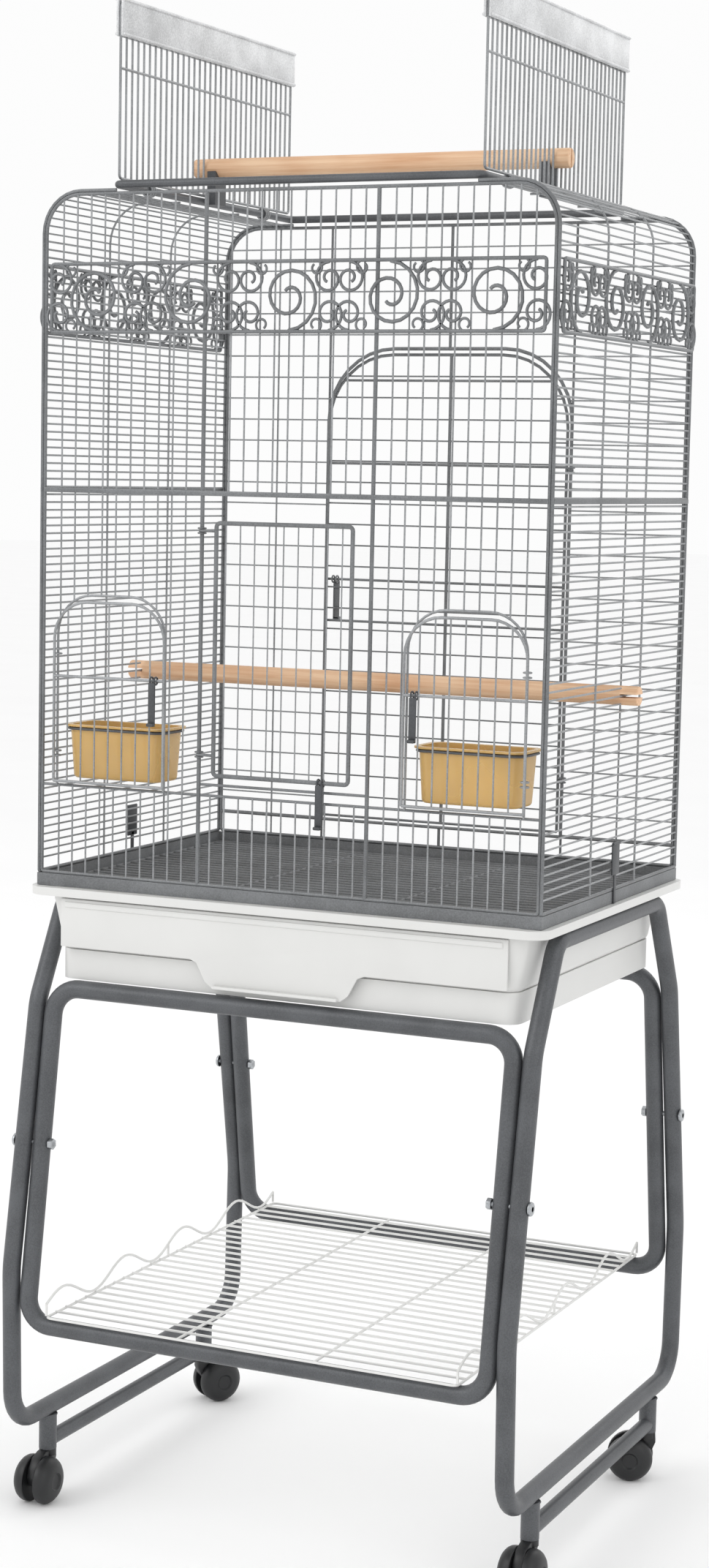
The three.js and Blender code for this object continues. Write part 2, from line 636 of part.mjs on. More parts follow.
// ---- scroll bands --------------------------------------------------------------------------------------------------
// One scroll: a strip that leaves a bar of the band and curls inwards.
function scroll(cx, cz, reach, hand, upside) {
  const steps = 12;
  const turns = 1.35;
  const outer = [];
  const inner = [];
  for (let i = 0; i <= steps; i += 1) {
    const t = i / steps;
    const a = Math.PI / 2 + hand * t * turns * 2 * Math.PI;
    const r = reach * (1 - 0.72 * t);
    const point = (q) => [cx + q * Math.cos(a), cz + upside * q * Math.sin(a)];
    outer.push(point(r + SCROLL_T / 2));
    inner.push(point(r - SCROLL_T / 2));
  }
  const strip = [...outer, ...inner.reverse()];
  return THREE.ShapeUtils.isClockWise(strip.map(([x, y]) => new THREE.Vector2(x, y))) ? strip.reverse() : strip;
}

function scrollStrips(halfLength, count) {
  const reach = (BAND_Z1 - BAND_Z0) / 2;
  const frame = {
    outline: rectangle(-halfLength, halfLength, BAND_Z0 - WIRE / 2, BAND_Z1 + WIRE / 2),
    hole: rectangle(-halfLength + WIRE, halfLength - WIRE, BAND_Z0 + WIRE / 2, BAND_Z1 - WIRE / 2),
  };
  const curls = [];
  const step = (2 * halfLength) / count;
  for (let i = 0; i < count; i += 1) {
    const x = -halfLength + step * (i + 0.5);
    const hand = x < 0 ? 1 : -1;
    curls.push(scroll(x, (BAND_Z0 + BAND_Z1) / 2, reach, hand, i % 2 ? 1 : -1));
  }
  return { frame, curls };
}

function frontBand() {
  const y1 = -CAGE_D / 2 - WIRE / 2 - GAP;
  const { frame, curls } = scrollStrips(CAGE_W / 2 - BAND_IN_X, SCROLLS_X);
  return join(
    uprightSheet(frame.outline, [frame.hole], y1 - BAND_T, y1),
    curls.map((c) => uprightSheet(c, [], y1 - BAND_T, y1)),
  );
}

function sideBand(side) {
  const x = CAGE_W / 2 + WIRE / 2 + GAP;
  const x0 = side > 0 ? x : -x - BAND_T;
  const { frame, curls } = scrollStrips(CAGE_D / 2 - BAND_IN_Y, SCROLLS_Y);
  return join(
    sideSheet(frame.outline, [frame.hole], x0, x0 + BAND_T),
    curls.map((c) => sideSheet(c, [], x0, x0 + BAND_T)),
  );
}

// ---- roof ----------------------------------------------------------------------------------------------------------
const HINGE_Z = ROOF_Z + WIRE / 2 + GAP + RAIL_R;

function roofFrame() {
  const y = CAGE_D / 2 - 3;
  const sides = [-1, 1].map((s) => bar('y', RAIL_R, 2 * y, s * HINGE_X, 0, HINGE_Z));
  const ends = [-1, 1].map((s) => bar('x', RAIL_R, 2 * (HINGE_X + RAIL_R), 0, s * y, HINGE_Z));
  return join(sides, ends);
}

function hingeRing(axis, inner, outer, width, x, y, z) {
  const ring = lyingSheet(arc(0, 0, outer, 0, 324, 9), [arc(0, 0, inner, 0, 324, 9)], -width / 2, width / 2);
  const turn = { x: [0, 90, 0], y: [90, 0, 0], z: [0, 0, 0] }[axis];
  return ring.rotate(turn).translate([x, y, z]);
}

// Flap drawn standing on its hinge line, which runs along Y through the origin.
function roofFlap() {
  const halfY = CAGE_D / 2 - FLAP_INSET;
  const foot = RAIL_R + 1.2;
  const top = FLAP_H - 4;
  const ys = spread(-halfY, halfY, MODEL_PITCH);
  const zs = [foot + FLAP_WIRE / 2, FLAP_BAR_Z, top - FLAP_WIRE / 2];
  const outline = rectangle(-halfY - FLAP_WIRE / 2, halfY + FLAP_WIRE / 2, foot, top);
  const sheet = sideSheet(outline, panes(ys, zs, FLAP_WIRE, FLAP_WIRE), -FLAP_WIRE / 2, FLAP_WIRE / 2);
  const rings = [FLAP_RING_IN - halfY, halfY - FLAP_RING_IN].map((y) => hingeRing('y', RAIL_R + 0.5, RAIL_R + 2.6, 12, 0, y, 0));
  return join(sheet, rings);
}

function flapLip() {
  const slot = FLAP_WIRE / 2 + GAP;
  const z0 = FLAP_H - LIP_H;
  const outline = [
    [-LIP_T / 2, z0], [-slot, z0], [-slot, FLAP_H - 3], [slot, FLAP_H - 3], [slot, z0], [LIP_T / 2, z0],
    [LIP_T / 2, FLAP_H], [-LIP_T / 2, FLAP_H],
  ];
  return uprightSheet(outline, [], LIP_INSET - CAGE_D / 2, CAGE_D / 2 - LIP_INSET);
}

function topPerch() {
  const rod = bar('x', PERCH_R, TOP_PERCH_L, 0, 0, 0, 16);
  const root = HINGE_X - FLAP_WIRE / 2 - GAP;
  const cuts = [-1, 1].map((s) => {
    const [a, b] = s > 0 ? [root, TOP_PERCH_L] : [-TOP_PERCH_L, -root];
    return block(a, b, -KERF / 2, KERF / 2, -20, 20);
  });
  return rod.subtract(join(cuts));
}

function perchBracket(side) {
  const z0 = HINGE_Z - 3;
  const z = HINGE_Z + TOP_PERCH_RISE;
  const cradle = arc(0, z, PERCH_R + GAP, 215, 325, 8);
  const half = PERCH_R + 2;
  const outline = [[-half, z0], [half, z0], [half, z - 4], ...cradle.reverse(), [-half, z - 4]];
  const x1 = HINGE_X - RAIL_R - GAP;
  const x0 = x1 - 10;
  return side > 0 ? sideSheet(outline, [], x0, x1) : sideSheet(outline, [], -x1, -x0);
}

function innerPerch() {
  const rod = bar('x', PERCH_R, PERCH_L, 0, PERCH_Y, PERCH_Z, 16);
  const root = CAGE_W / 2 - WIRE / 2 - GAP;
  const cuts = [-1, 1].map((s) => {
    const [a, b] = s > 0 ? [root, PERCH_L] : [-PERCH_L, -root];
    return block(a, b, PERCH_Y - 20, PERCH_Y + 20, PERCH_Z - KERF / 2, PERCH_Z + KERF / 2);
  });
  return rod.subtract(join(cuts));
}

// ---- doors ---------------------------------------------------------------------------------------------------------
// Doors are drawn with their hinge wire on the Z axis and the leaf towards +X, its outer face towards -Y.
function leaf(outline, holes) {
  return uprightSheet(outline, holes, -DOOR_BACK - WIRE, -DOOR_BACK);
}

function doorRings(levels) {
  return levels.map((z) => hingeRing('z', RING_IN, RING_OUT, RING_W, 0, 0, z));
}

// Short arms that carry the rings out from the leaf.
function doorArms(reach, levels) {
  return levels.map((z) => block(-1, reach, -DOOR_BACK - WIRE, -DOOR_BACK, z - RING_W / 2, z + RING_W / 2));
}

function frontDoor() {
  const x0 = DOOR_X - DOOR_STILE_X;
  const x1 = DOOR_X + DOOR_STILE_X;
  const outline = rectangle(x0 - BAR / 2, x1 + BAR / 2, DOOR_RAIL_Z - BAR / 2, DOOR_Z1 + BAR / 2);
  const inner = [-32, 0, 32].map((x) => x + DOOR_X);
  const xs = [x0 + 0.5, ...inner, x1 - 0.5];
  const holes = panes(xs, [DOOR_RAIL_Z, DOOR_Z1], WIRE, BAR);
  const rings = [DOOR_RAIL_Z + 20, DOOR_Z1 - 8];
  return join(leaf(outline, holes), doorArms(x0, rings), doorRings(rings));
}

function feederDoor() {
  const width = FEEDER_W;
  const z0 = FEEDER_Z0 + WIRE;
  const z1 = FEEDER_Z1 - 4;
  const outline = arched(-3, width + 3, z0, z1, FEEDER_R);
  const xs = [0, 32, width / 2, width - 32, width];
  const head = (x) => headAt(x - width / 2, width / 2, z1 - WIRE, FEEDER_R - WIRE);
  const holes = [
    ...panes(xs, [z0 + WIRE, LATCH_Z]),
    ...curvedPanes(xs, () => LATCH_Z + WIRE / 2, head),
  ];
  return join(leaf(outline, holes), doorRings([z0 + 30, z0 + 135]));
}

function rearDoor() {
  const width = 2 * REAR_X;
  const z0 = REAR_Z0 + WIRE;
  const z1 = REAR_Z1 - 3;
  const y1 = -DOOR_BACK;
  const outline = arched(REAR_SWING, width + 3, z0, z1, REAR_R);
  const inside = arched(REAR_SWING + WIRE, width - WIRE / 2, z0 + WIRE, z1 - WIRE, REAR_R - WIRE);
  const below = levels(z0, REAR_LATCH_Z);
  const above = levels(REAR_LATCH_Z, z1).slice(1);
  const uprights = [REAR_SWING + WIRE / 2, REAR_X, width];
  const grid = meshSheet(outline, inside, uprights, [...below, ...above], y1 - WIRE, y1);
  const rings = [z0 + 60, z0 + 400];
  return join(grid, doorArms(REAR_SWING + WIRE, rings), doorRings(rings));
}

// A small lever that hangs from a cross bar of its door; the bar runs along X through the origin.
function latch() {
  const plate = [[-4, -46], [4, -46], [4, 0], [-4, 0]];
  return join(
    uprightSheet(plate, [], -RING_OUT, -RING_IN),
    hingeRing('x', RING_IN, RING_OUT, RING_W, 0, 0, 0),
    block(-4, 4, -RING_OUT - 4, -RING_IN, -46, -43),
  );
}

// ---- cups ----------------------------------------------------------------------------------------------------------
function cup() {
  const depth = CUP_Z1 - CUP_Z0;
  const outer = roundedRectangle(CUP_W / 2 - 4, CUP_D / 2 - 4, 12);
  const inner = roundedRectangle(CUP_W / 2 - 6, CUP_D / 2 - 6, 10);
  const lip = roundedRectangle(CUP_W / 2, CUP_D / 2, 14);
  return join(
    lyingSheet(outer, [inner], 0, depth),
    lyingSheet(outer, [], 0, 2),
    lyingSheet(lip, [inner], depth - 2.5, depth),
  );
}

function cupHolder() {
  const outer = roundedRectangle(CUP_W / 2 - 1, CUP_D / 2 - 1, 14);
  const inner = roundedRectangle(CUP_W / 2 - 4 + GAP, CUP_D / 2 - 4 + GAP, 12);
  const z1 = CUP_Z1 - CUP_Z0 - 2.5 - GAP;
  return lyingSheet(outer, [inner], z1 - WIRE, z1);
}

// ---- assembly ------------------------------------------------------------------------------------------------------
const SIDES = [['left', -1], ['right', 1]];
const ENDS = [['front', -1], ['rear', 1]];

function addStand(root) {
  const stand = new THREE.Group();
  for (const [name, s] of SIDES) {
    stand.add(meshOf(`${name}_side_loop`, sideLoop(s), PEWTER));
    stand.add(meshOf(`${name}_caster_rail`, casterRail(s), PEWTER));
  }
  for (const [name, s] of ENDS) stand.add(meshOf(`${name}_stand_frame`, endFrame(s), PEWTER));
  for (const [end, sy] of ENDS) {
    for (const [side, sx] of SIDES) stand.add(meshOf(`${end}_${side}_frame_bolt`, frameBolt(sx, sy), ZINC));
  }
  stand.add(meshOf('shelf_floor', shelfFloor(), SHELF));
  for (const [name, s] of SIDES) stand.add(meshOf(`${name}_shelf_rail`, shelfRail(s), SHELF));
  root.add(stand);
}

function addCasters(root) {
  const turned = { front_left: 270, front_right: 270, rear_left: 55, rear_right: 198 };
  for (const [end, sy] of ENDS) {
    for (const [side, sx] of SIDES) {
      const caster = new THREE.Group();
      caster.position.set(sx * LOOP_X, sy * STEM_Y, 0);
      caster.rotation.z = THREE.MathUtils.degToRad(turned[`${end}_${side}`]);
      caster.add(meshOf(`${end}_${side}_caster_fork`, casterFork(), BLACK));
      const wheels = meshOf(`${end}_${side}_caster_wheels`, casterWheels(), BLACK);
      wheels.position.set(TRAIL, 0, WHEEL_R);
      caster.add(wheels);
      root.add(caster);
    }
  }
}

function addBase(root) {
  root.add(meshOf('base_pan', basePan(), WHITE));
  root.add(meshOf('slide_tray', tray(), WHITE));
  root.add(meshOf('bottom_frame', bottomFrame(), DARK));
  root.add(meshOf('floor_grate', floorGrate(), DARK));
  for (const [name, s] of SIDES) root.add(meshOf(`${name}_base_clip`, sideClip(s), DARK));
}

function addCage(root) {
  root.add(meshOf('front_wire_panel', frontPanel(), WIRE_COAT));
  root.add(meshOf('rear_wire_panel', rearPanel(), WIRE_COAT));
  root.add(meshOf('front_scroll_band', frontBand(), PEWTER));
  root.add(meshOf('roof_opening_frame', roofFrame(), PEWTER));
  root.add(meshOf('inner_perch', innerPerch(), WOOD));
  for (const [name, s] of SIDES) {
    root.add(meshOf(`${name}_wire_panel`, sidePanel(s), WIRE_COAT));
    root.add(meshOf(`${name}_scroll_band`, sideBand(s), PEWTER));
    root.add(meshOf(`${name}_perch_bracket`, perchBracket(s), DARK));
    const flap = new THREE.Group();
    flap.position.set(s * HINGE_X, 0, HINGE_Z);
    flap.add(meshOf(`${name}_roof_flap`, roofFlap(), WIRE_COAT));
    flap.add(meshOf(`${name}_flap_lip`, flapLip(), PEWTER));
    root.add(flap);
  }
  const perch = meshOf('top_perch', topPerch(), WOOD);
  perch.position.set(0, 0, HINGE_Z + TOP_PERCH_RISE);
  root.add(perch);
}

function addDoors(root) {
  const y = -CAGE_D / 2;
  const latchY = -DOOR_BACK - WIRE / 2;
  const door = meshOf('front_door', frontDoor(), PEWTER);
  door.position.set(-DOOR_X, y, 0);
  const doorLatch = meshOf('front_door_latch', latch(), DARK);
  doorLatch.position.set(45, y + latchY, DOOR_RAIL_Z);
  root.add(door, doorLatch);
  for (const [name, s] of SIDES) {
    const leafSolid = s < 0 ? feederDoor() : feederDoor().mirror([1, 0, 0]);
    const feeder = meshOf(`${name}_feeder_door`, leafSolid, PEWTER);
    feeder.position.set(s * FEEDER_X1, y, 0);
    const feederLatch = meshOf(`${name}_feeder_latch`, latch(), DARK);
    feederLatch.position.set(s * (FEEDER_X0 + 10), y + latchY, LATCH_Z);
    const holder = meshOf(`${name}_cup_holder`, cupHolder(), PEWTER);
    holder.position.set(s * CUP_X, -CAGE_D / 2 + WIRE / 2 + GAP + CUP_D / 2, CUP_Z0);
    const feed = meshOf(`${name}_feed_cup`, cup(), AMBER);
    feed.position.copy(holder.position);
    root.add(feeder, feederLatch, holder, feed);
  }
  const rear = new THREE.Group();
  rear.position.set(REAR_X, CAGE_D / 2, 0);
  rear.rotation.z = Math.PI;
  const rearLatch = meshOf('rear_door_latch', latch(), DARK);
  rearLatch.position.set(2 * REAR_X - 9.5, latchY, REAR_LATCH_Z);
  rear.add(meshOf('rear_door', rearDoor(), PEWTER), rearLatch);
  root.add(rear);
}

const cage = new THREE.Group();
cage.name = 'bird_cage_on_stand';
addStand(cage);
addCasters(cage);
addBase(cage);
addCage(cage);
addDoors(cage);
export default cage;
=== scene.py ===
"""Bird cage on a rolling stand: wire work, tubes, plastics and wood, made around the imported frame."""
import math

import bmesh
import bpy
from mathutils import Matrix, Vector


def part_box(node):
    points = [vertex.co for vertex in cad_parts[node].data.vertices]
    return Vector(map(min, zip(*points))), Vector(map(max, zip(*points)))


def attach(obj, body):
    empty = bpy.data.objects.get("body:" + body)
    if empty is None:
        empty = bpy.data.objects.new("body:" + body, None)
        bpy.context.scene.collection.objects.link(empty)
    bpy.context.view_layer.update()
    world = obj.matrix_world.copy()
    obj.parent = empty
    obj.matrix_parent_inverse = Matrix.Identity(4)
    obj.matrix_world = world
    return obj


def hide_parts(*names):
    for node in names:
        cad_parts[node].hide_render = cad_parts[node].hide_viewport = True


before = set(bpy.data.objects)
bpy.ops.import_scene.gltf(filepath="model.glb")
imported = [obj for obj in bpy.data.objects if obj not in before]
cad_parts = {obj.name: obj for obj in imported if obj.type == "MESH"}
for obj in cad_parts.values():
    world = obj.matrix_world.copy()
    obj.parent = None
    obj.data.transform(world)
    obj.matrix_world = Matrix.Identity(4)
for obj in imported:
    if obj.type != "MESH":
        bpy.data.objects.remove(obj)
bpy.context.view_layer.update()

bl_info = {
    "name": "Bird Cage on Stand",
    "version": (1, 0, 0),
    "blender": (4, 5, 0),
    "location": "3D View > Sidebar > Bird Cage",
    "description": "Wire work, tubes, plastics and wood of a bird cage on a rolling stand",
    "category": "Object",
}

MM = 0.001
ROOT = "cage_and_stand"
SHARP = math.radians(35)
SIDES = (("left", -1), ("right", 1))
ENDS = (("front", -1), ("rear", 1))


def span(node):
    """A node's lowest and highest corner in millimetres."""
    lo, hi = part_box(node)
    return Vector(lo) / MM, Vector(hi) / MM


def middle(node):
    lo, hi = span(node)
    return (lo + hi) / 2


# Places taken from the frame, in millimetres. Everything is built in millimetres and scaled to metres last.
RING_LO, RING_HI = span("bottom_frame")
WALL_X = RING_HI.x - 1.5                 # side wall wires
WALL_Y = RING_HI.y - 1.5                 # front and rear wall wires
PANEL_LO, PANEL_HI = span("front_wire_panel")
FOOT_Z = PANEL_LO.z + 1.5
HEAD_Z = PANEL_HI.z - 1.5
EDGE_X = PANEL_HI.x - 1.5
ROOF_Z = HEAD_Z + 3.3
HINGE = middle("right_roof_flap")
HINGE_X = HINGE.x
HINGE_Z = middle("roof_opening_frame").z
BAND_LO, BAND_HI = span("front_scroll_band")
TOP_PERCH = middle("top_perch")
INNER_PERCH = middle("inner_perch")
LOOP_X = middle("right_side_loop").x
GRATE_LO, GRATE_HI = span("floor_grate")
SHELF_LO, SHELF_HI = span("shelf_floor")
SEAM_Z = 1075.0
SHOULDER_R = 42.0
LINE_Z = 878.0                           # the side wall wire that carries the inner perch
DOOR_X = 93.5
DOOR_SILL_Z = 783.0
SILL_Z = 772.0
FEEDER_X = (134.0, 259.0)
FEEDER_TOP = 967.0
FEEDER_R = 40.0
LATCH_Z = 885.0                          # cross wire of a feeder door that carries its latch
PAN_FLOOR_Z = 600.0                      # underside of the pan's floor
PAN_TAPER = 0.96                         # the skirt narrows to this share of its width at the floor
REAR_X = 146.5
REAR_Z = (703.0, 1235.0)
REAR_R = 80.0
# heavier cross wires of the rear door; the second carries its latch
REAR_BARS_Z = (931.0, 978.0, 1109.0, 1202.0)
REAR_SWING = 6.5                         # rear leaf's stile past its hinge wire
LEAF_Y = 4.7                             # door leaves lie this far outside their wall
PERCH_R = 10.0
TUBE_R = 9.5
CROSS_TOP_Z = 560.0
CROSS_LOW_Z = 215.0


# ---- meshes -----------------------------------------------------------------------------------------------
def pour(piece, into):
    """Add one finished part to a larger piece."""
    mesh = bpy.data.meshes.new("part")
    piece.to_mesh(mesh)
    piece.free()
    into.from_mesh(mesh)
    bpy.data.meshes.remove(mesh)


def straight(bm, start, end, radius, sides=8):
    """A straight round wire between two points."""
    start, end = Vector(start), Vector(end)
    along = end - start
    place = Matrix.Translation((start + end) / 2) @ along.to_track_quat("Z", "Y").to_matrix().to_4x4()
    bmesh.ops.create_cone(
        bm, cap_ends=True, cap_tris=False, segments=sides,
        radius1=radius, radius2=radius, depth=along.length, matrix=place,
    )


def bends(corners, radii, steps=6, closed=False):
    """Corner points turned into a path with round bends."""
    corners = [Vector(c) for c in corners]
    path = []
    for i, corner in enumerate(corners):
        if not closed and i in (0, len(corners) - 1):
            path.append(corner)
            continue
        radius = radii[i] if isinstance(radii, (list, tuple)) else radii
        back = (corners[i - 1] - corner).normalized()
        on = (corners[(i + 1) % len(corners)] - corner).normalized()
        half = back.angle(on) / 2
        centre = corner + (back + on).normalized() * radius / math.sin(half)
        start = corner + back * radius / math.tan(half) - centre
        end = corner + on * radius / math.tan(half) - centre
        sweep = start.angle(end)
        for k in range(steps + 1):
            t = k / steps
            arm = start * math.sin((1 - t) * sweep) + end * math.sin(t * sweep)
            path.append(centre + arm / math.sin(sweep))
    return path


def rod(bm, path, radius, sides=8, closed=False):
    """A round wire or tube drawn along a path."""
    path = [Vector(p) for p in path]
    places = []
    turn = last = None
    for i, point in enumerate(path):
        before = path[i - 1] if closed or i else point
        after = path[(i + 1) % len(path)] if closed or i + 1 < len(path) else point
        along = (after - before).normalized()
        turn = along.to_track_quat("Z", "Y") if turn is None else last.rotation_difference(along) @ turn
        last = along
        places.append(Matrix.Translation(point) @ turn.to_matrix().to_4x4())
    piece = bmesh.new()
    bmesh.ops.create_circle(piece, cap_ends=not closed, segments=sides, radius=radius, matrix=places[0])
    first = ring = piece.edges[:]
    for here, there in zip(places, places[1:]):
        grown = bmesh.ops.extrude_edge_only(piece, edges=ring)["geom"]
        tips = [g for g in grown if isinstance(g, bmesh.types.BMVert)]
        bmesh.ops.transform(piece, matrix=there @ here.inverted(), verts=tips)
        tip_set = set(tips)
        ring = [g for g in grown if isinstance(g, bmesh.types.BMEdge) and tip_set.issuperset(g.verts)]
    if closed:
        bmesh.ops.bridge_loops(piece, edges=first + ring)
    else:
        bmesh.ops.contextual_create(piece, geom=ring)
    bmesh.ops.recalc_face_normals(piece, faces=piece.faces)
    pour(piece, bm)


def eye(bm, centre, axis, ring_r, wire_r, steps=18):
    """A closed wire eye round an axis."""
    turn = Vector(axis).to_track_quat("Z", "Y")
    path = []
    for i in range(steps):
        a = 2 * math.pi * i / steps
        path.append(Vector(centre) + turn @ Vector((ring_r * math.cos(a), ring_r * math.sin(a), 0)))
    rod(bm, path, wire_r, 8, closed=True)


def block(bm, lo, hi, bevel=0.0, segments=2):
    """A block between two corners, its edges rounded."""
    lo, hi = Vector(lo), Vector(hi)
    piece = bmesh.new()
    size = hi - lo
    place = Matrix.Translation((lo + hi) / 2) @ Matrix.Diagonal((*size, 1))
    bmesh.ops.create_cube(piece, size=1, matrix=place)
    if bevel:
        soften(piece, piece.edges[:], bevel, segments)
    pour(piece, bm)


def soften(bm, edges, width, segments=2):
    bmesh.ops.bevel(
        bm, geom=edges, offset=width, offset_type="OFFSET", segments=segments,
        profile=0.5, affect="EDGES", clamp_overlap=True, material=-1,
    )


def plate(bm, outline, depth, bevel=0.0):
    """A flat plate from its outline, thickened along a vector."""
    piece = bmesh.new()
    face = piece.faces.new([piece.verts.new(p) for p in outline])
    grown = bmesh.ops.extrude_face_region(piece, geom=[face])["geom"]
    tips = [g for g in grown if isinstance(g, bmesh.types.BMVert)]
    bmesh.ops.translate(piece, vec=Vector(depth), verts=tips)
    bmesh.ops.recalc_face_normals(piece, faces=piece.faces)
    if bevel:
        soften(piece, [e for e in piece.edges if e.calc_face_angle(0) > SHARP], bevel)
    pour(piece, bm)


def shell(bm, half_x, half_y, z0, z1, radius, segments=6):
    """An open-topped box with rounded upright corners, outer face only."""
    size = (2 * half_x, 2 * half_y, z1 - z0, 1)
    place = Matrix.Translation((0, 0, (z0 + z1) / 2)) @ Matrix.Diagonal(size)
    bmesh.ops.create_cube(bm, size=1, matrix=place)
    soften(bm, [e for e in bm.edges if abs(e.verts[0].co.z - e.verts[1].co.z) > 1], radius, segments)
    lid = [f for f in bm.faces if f.normal.z > 0.9]
    bmesh.ops.delete(bm, geom=lid, context="FACES_ONLY")


def thicken(bm, wall):
    """Give an open shell its wall, grown inwards from its outer face."""
    bmesh.ops.recalc_face_normals(bm, faces=bm.faces)
    low = min(bm.faces, key=lambda f: f.calc_center_median().z)
    if low.normal.z > 0:
        bmesh.ops.reverse_faces(bm, faces=bm.faces)
    bmesh.ops.solidify(bm, geom=bm.faces[:], thickness=wall)


def keep(bm, name, body, finish, *nodes):
    """Bring a finished piece to metres, give it its finish and tie it to its body."""
    bmesh.ops.scale(bm, vec=(MM, MM, MM), verts=bm.verts)
    for face in bm.faces:
        face.smooth = True
    for edge in bm.edges:
        edge.smooth = len(edge.link_faces) == 2 and edge.calc_face_angle(0) < SHARP
    mesh = bpy.data.meshes.new(name)
    bm.to_mesh(mesh)
    bm.free()
    mesh.materials.append(material_of(finish))
    piece = bpy.data.objects.new(name, mesh)
    bpy.context.scene.collection.objects.link(piece)
    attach(piece, body)
    if nodes:
        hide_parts(*nodes)
    return piece


# ---- materials --------------------------------------------------------------------------------------------
def linear(code):
    """An sRGB hex colour as the linear colour that a shader takes."""
    parts = [int(code[i:i + 2], 16) / 255 for i in (1, 3, 5)]
    return tuple(p / 12.92 if p <= 0.04045 else ((p + 0.055) / 1.055) ** 2.4 for p in parts)


def per(size_mm):
    """How often a pattern of this size repeats in a metre."""
    return 1 / (size_mm * MM)


def add(tree, kind, sockets=None, **settings):
    """Add a node with its settings, and with values or links on its sockets."""
    made = tree.nodes.new(kind)
    for key, value in settings.items():
        setattr(made, key, value)
    for key, value in (sockets or {}).items():
        if isinstance(value, bpy.types.NodeSocket):
            tree.links.new(value, made.inputs[key])
        else:
            made.inputs[key].default_value = value
    return made


def begin(name):
    """A material with its shader, its node tree and the object's own coordinates."""
    material = bpy.data.materials.new(name)
    material.use_nodes = True
    tree = material.node_tree
    tree.nodes.clear()
    place = add(tree, "ShaderNodeTexCoord").outputs["Object"]
    shader = add(tree, "ShaderNodeBsdfPrincipled")
    add(tree, "ShaderNodeOutputMaterial", {"Surface": shader.outputs["BSDF"]})
    return material, tree, place, shader


def two_tones(tree, factor, dark, light, low=0.3, high=0.7):
    """Spread two colours over a pattern."""
    ramp = add(tree, "ShaderNodeValToRGB", {"Fac": factor})
    ramp.color_ramp.elements[0].position = low
    ramp.color_ramp.elements[0].color = (*dark, 1)
    ramp.color_ramp.elements[1].position = high
    ramp.color_ramp.elements[1].color = (*light, 1)
    return ramp.outputs["Color"]


def shaded(colour, factor):
    return tuple(c * factor for c in colour)


def coated_steel(name, colour, roughness, grain_mm, relief_mm, flake):
    """Hammertone powder coat baked on steel: a low satin sheen over fine dimples, paler in patches."""
    material, tree, place, shader = begin(name)
    dimple = add(tree, "ShaderNodeTexVoronoi", {"Vector": place, "Scale": per(grain_mm)}, feature="SMOOTH_F1")
    patch = add(tree, "ShaderNodeTexNoise", {"Vector": place, "Scale": per(38), "Detail": 4.0})
    speck = add(tree, "ShaderNodeTexNoise", {"Vector": place, "Scale": per(1.4), "Detail": 2.0})
    mixed = add(tree, "ShaderNodeMath", {0: patch.outputs["Fac"], 1: speck.outputs["Fac"]}, operation="ADD")
    halved = add(tree, "ShaderNodeMath", {0: mixed.outputs[0], 1: 0.5}, operation="MULTIPLY")
    tone = two_tones(tree, halved.outputs[0], shaded(colour, 0.78), shaded(colour, 1.2), 0.38, 0.62)
    tree.links.new(tone, shader.inputs["Base Color"])
    gloss = add(tree, "ShaderNodeMapRange", {
        "Value": patch.outputs["Fac"], "To Min": roughness - 0.07, "To Max": roughness + 0.09,
    })
    tree.links.new(gloss.outputs["Result"], shader.inputs["Roughness"])
    bump = add(tree, "ShaderNodeBump", {
        "Height": dimple.outputs["Distance"], "Distance": relief_mm * MM, "Strength": 0.6,
    })
    tree.links.new(bump.outputs["Normal"], shader.inputs["Normal"])
    shader.inputs["Metallic"].default_value = flake
    shader.inputs["Coat Weight"].default_value = 0.15
    shader.inputs["Coat Roughness"].default_value = 0.3
    return material


def zinc_plate(name, colour):
    """Bright zinc plating on a pressed screw: cool metal with a cloudy spangle."""
    material, tree, place, shader = begin(name)
    cloud = add(tree, "ShaderNodeTexNoise", {"Vector": place, "Scale": per(2.2), "Detail": 3.0})
    tone = two_tones(tree, cloud.outputs["Fac"], shaded(colour, 0.8), colour)
    tree.links.new(tone, shader.inputs["Base Color"])
    gloss = add(tree, "ShaderNodeMapRange", {"Value": cloud.outputs["Fac"], "To Min": 0.25, "To Max": 0.45})
    tree.links.new(gloss.outputs["Result"], shader.inputs["Roughness"])
    shader.inputs["Metallic"].default_value = 1.0
    return material


def moulded_plastic(name, colour, roughness, ior, grain_mm, shift=0.96):
    """Injection-moulded plastic: an even tint with a fine spark texture and a faint flow cloud."""
    material, tree, place, shader = begin(name)
    flow = add(tree, "ShaderNodeTexNoise", {"Vector": place, "Scale": per(90), "Detail": 3.0})
    tone = two_tones(tree, flow.outputs["Fac"], shaded(colour, shift), colour, 0.35, 0.65)
    tree.links.new(tone, shader.inputs["Base Color"])
    grain = add(tree, "ShaderNodeTexNoise", {"Vector": place, "Scale": per(grain_mm), "Detail": 2.0})
    gloss = add(tree, "ShaderNodeMapRange", {
        "Value": flow.outputs["Fac"], "To Min": roughness - 0.06, "To Max": roughness + 0.08,
    })
    tree.links.new(gloss.outputs["Result"], shader.inputs["Roughness"])
    dimples = {"Height": grain.outputs["Fac"], "Distance": 0.04 * MM, "Strength": 0.5}
    bump = add(tree, "ShaderNodeBump", dimples)
    tree.links.new(bump.outputs["Normal"], shader.inputs["Normal"])
    shader.inputs["IOR"].default_value = ior
    return material


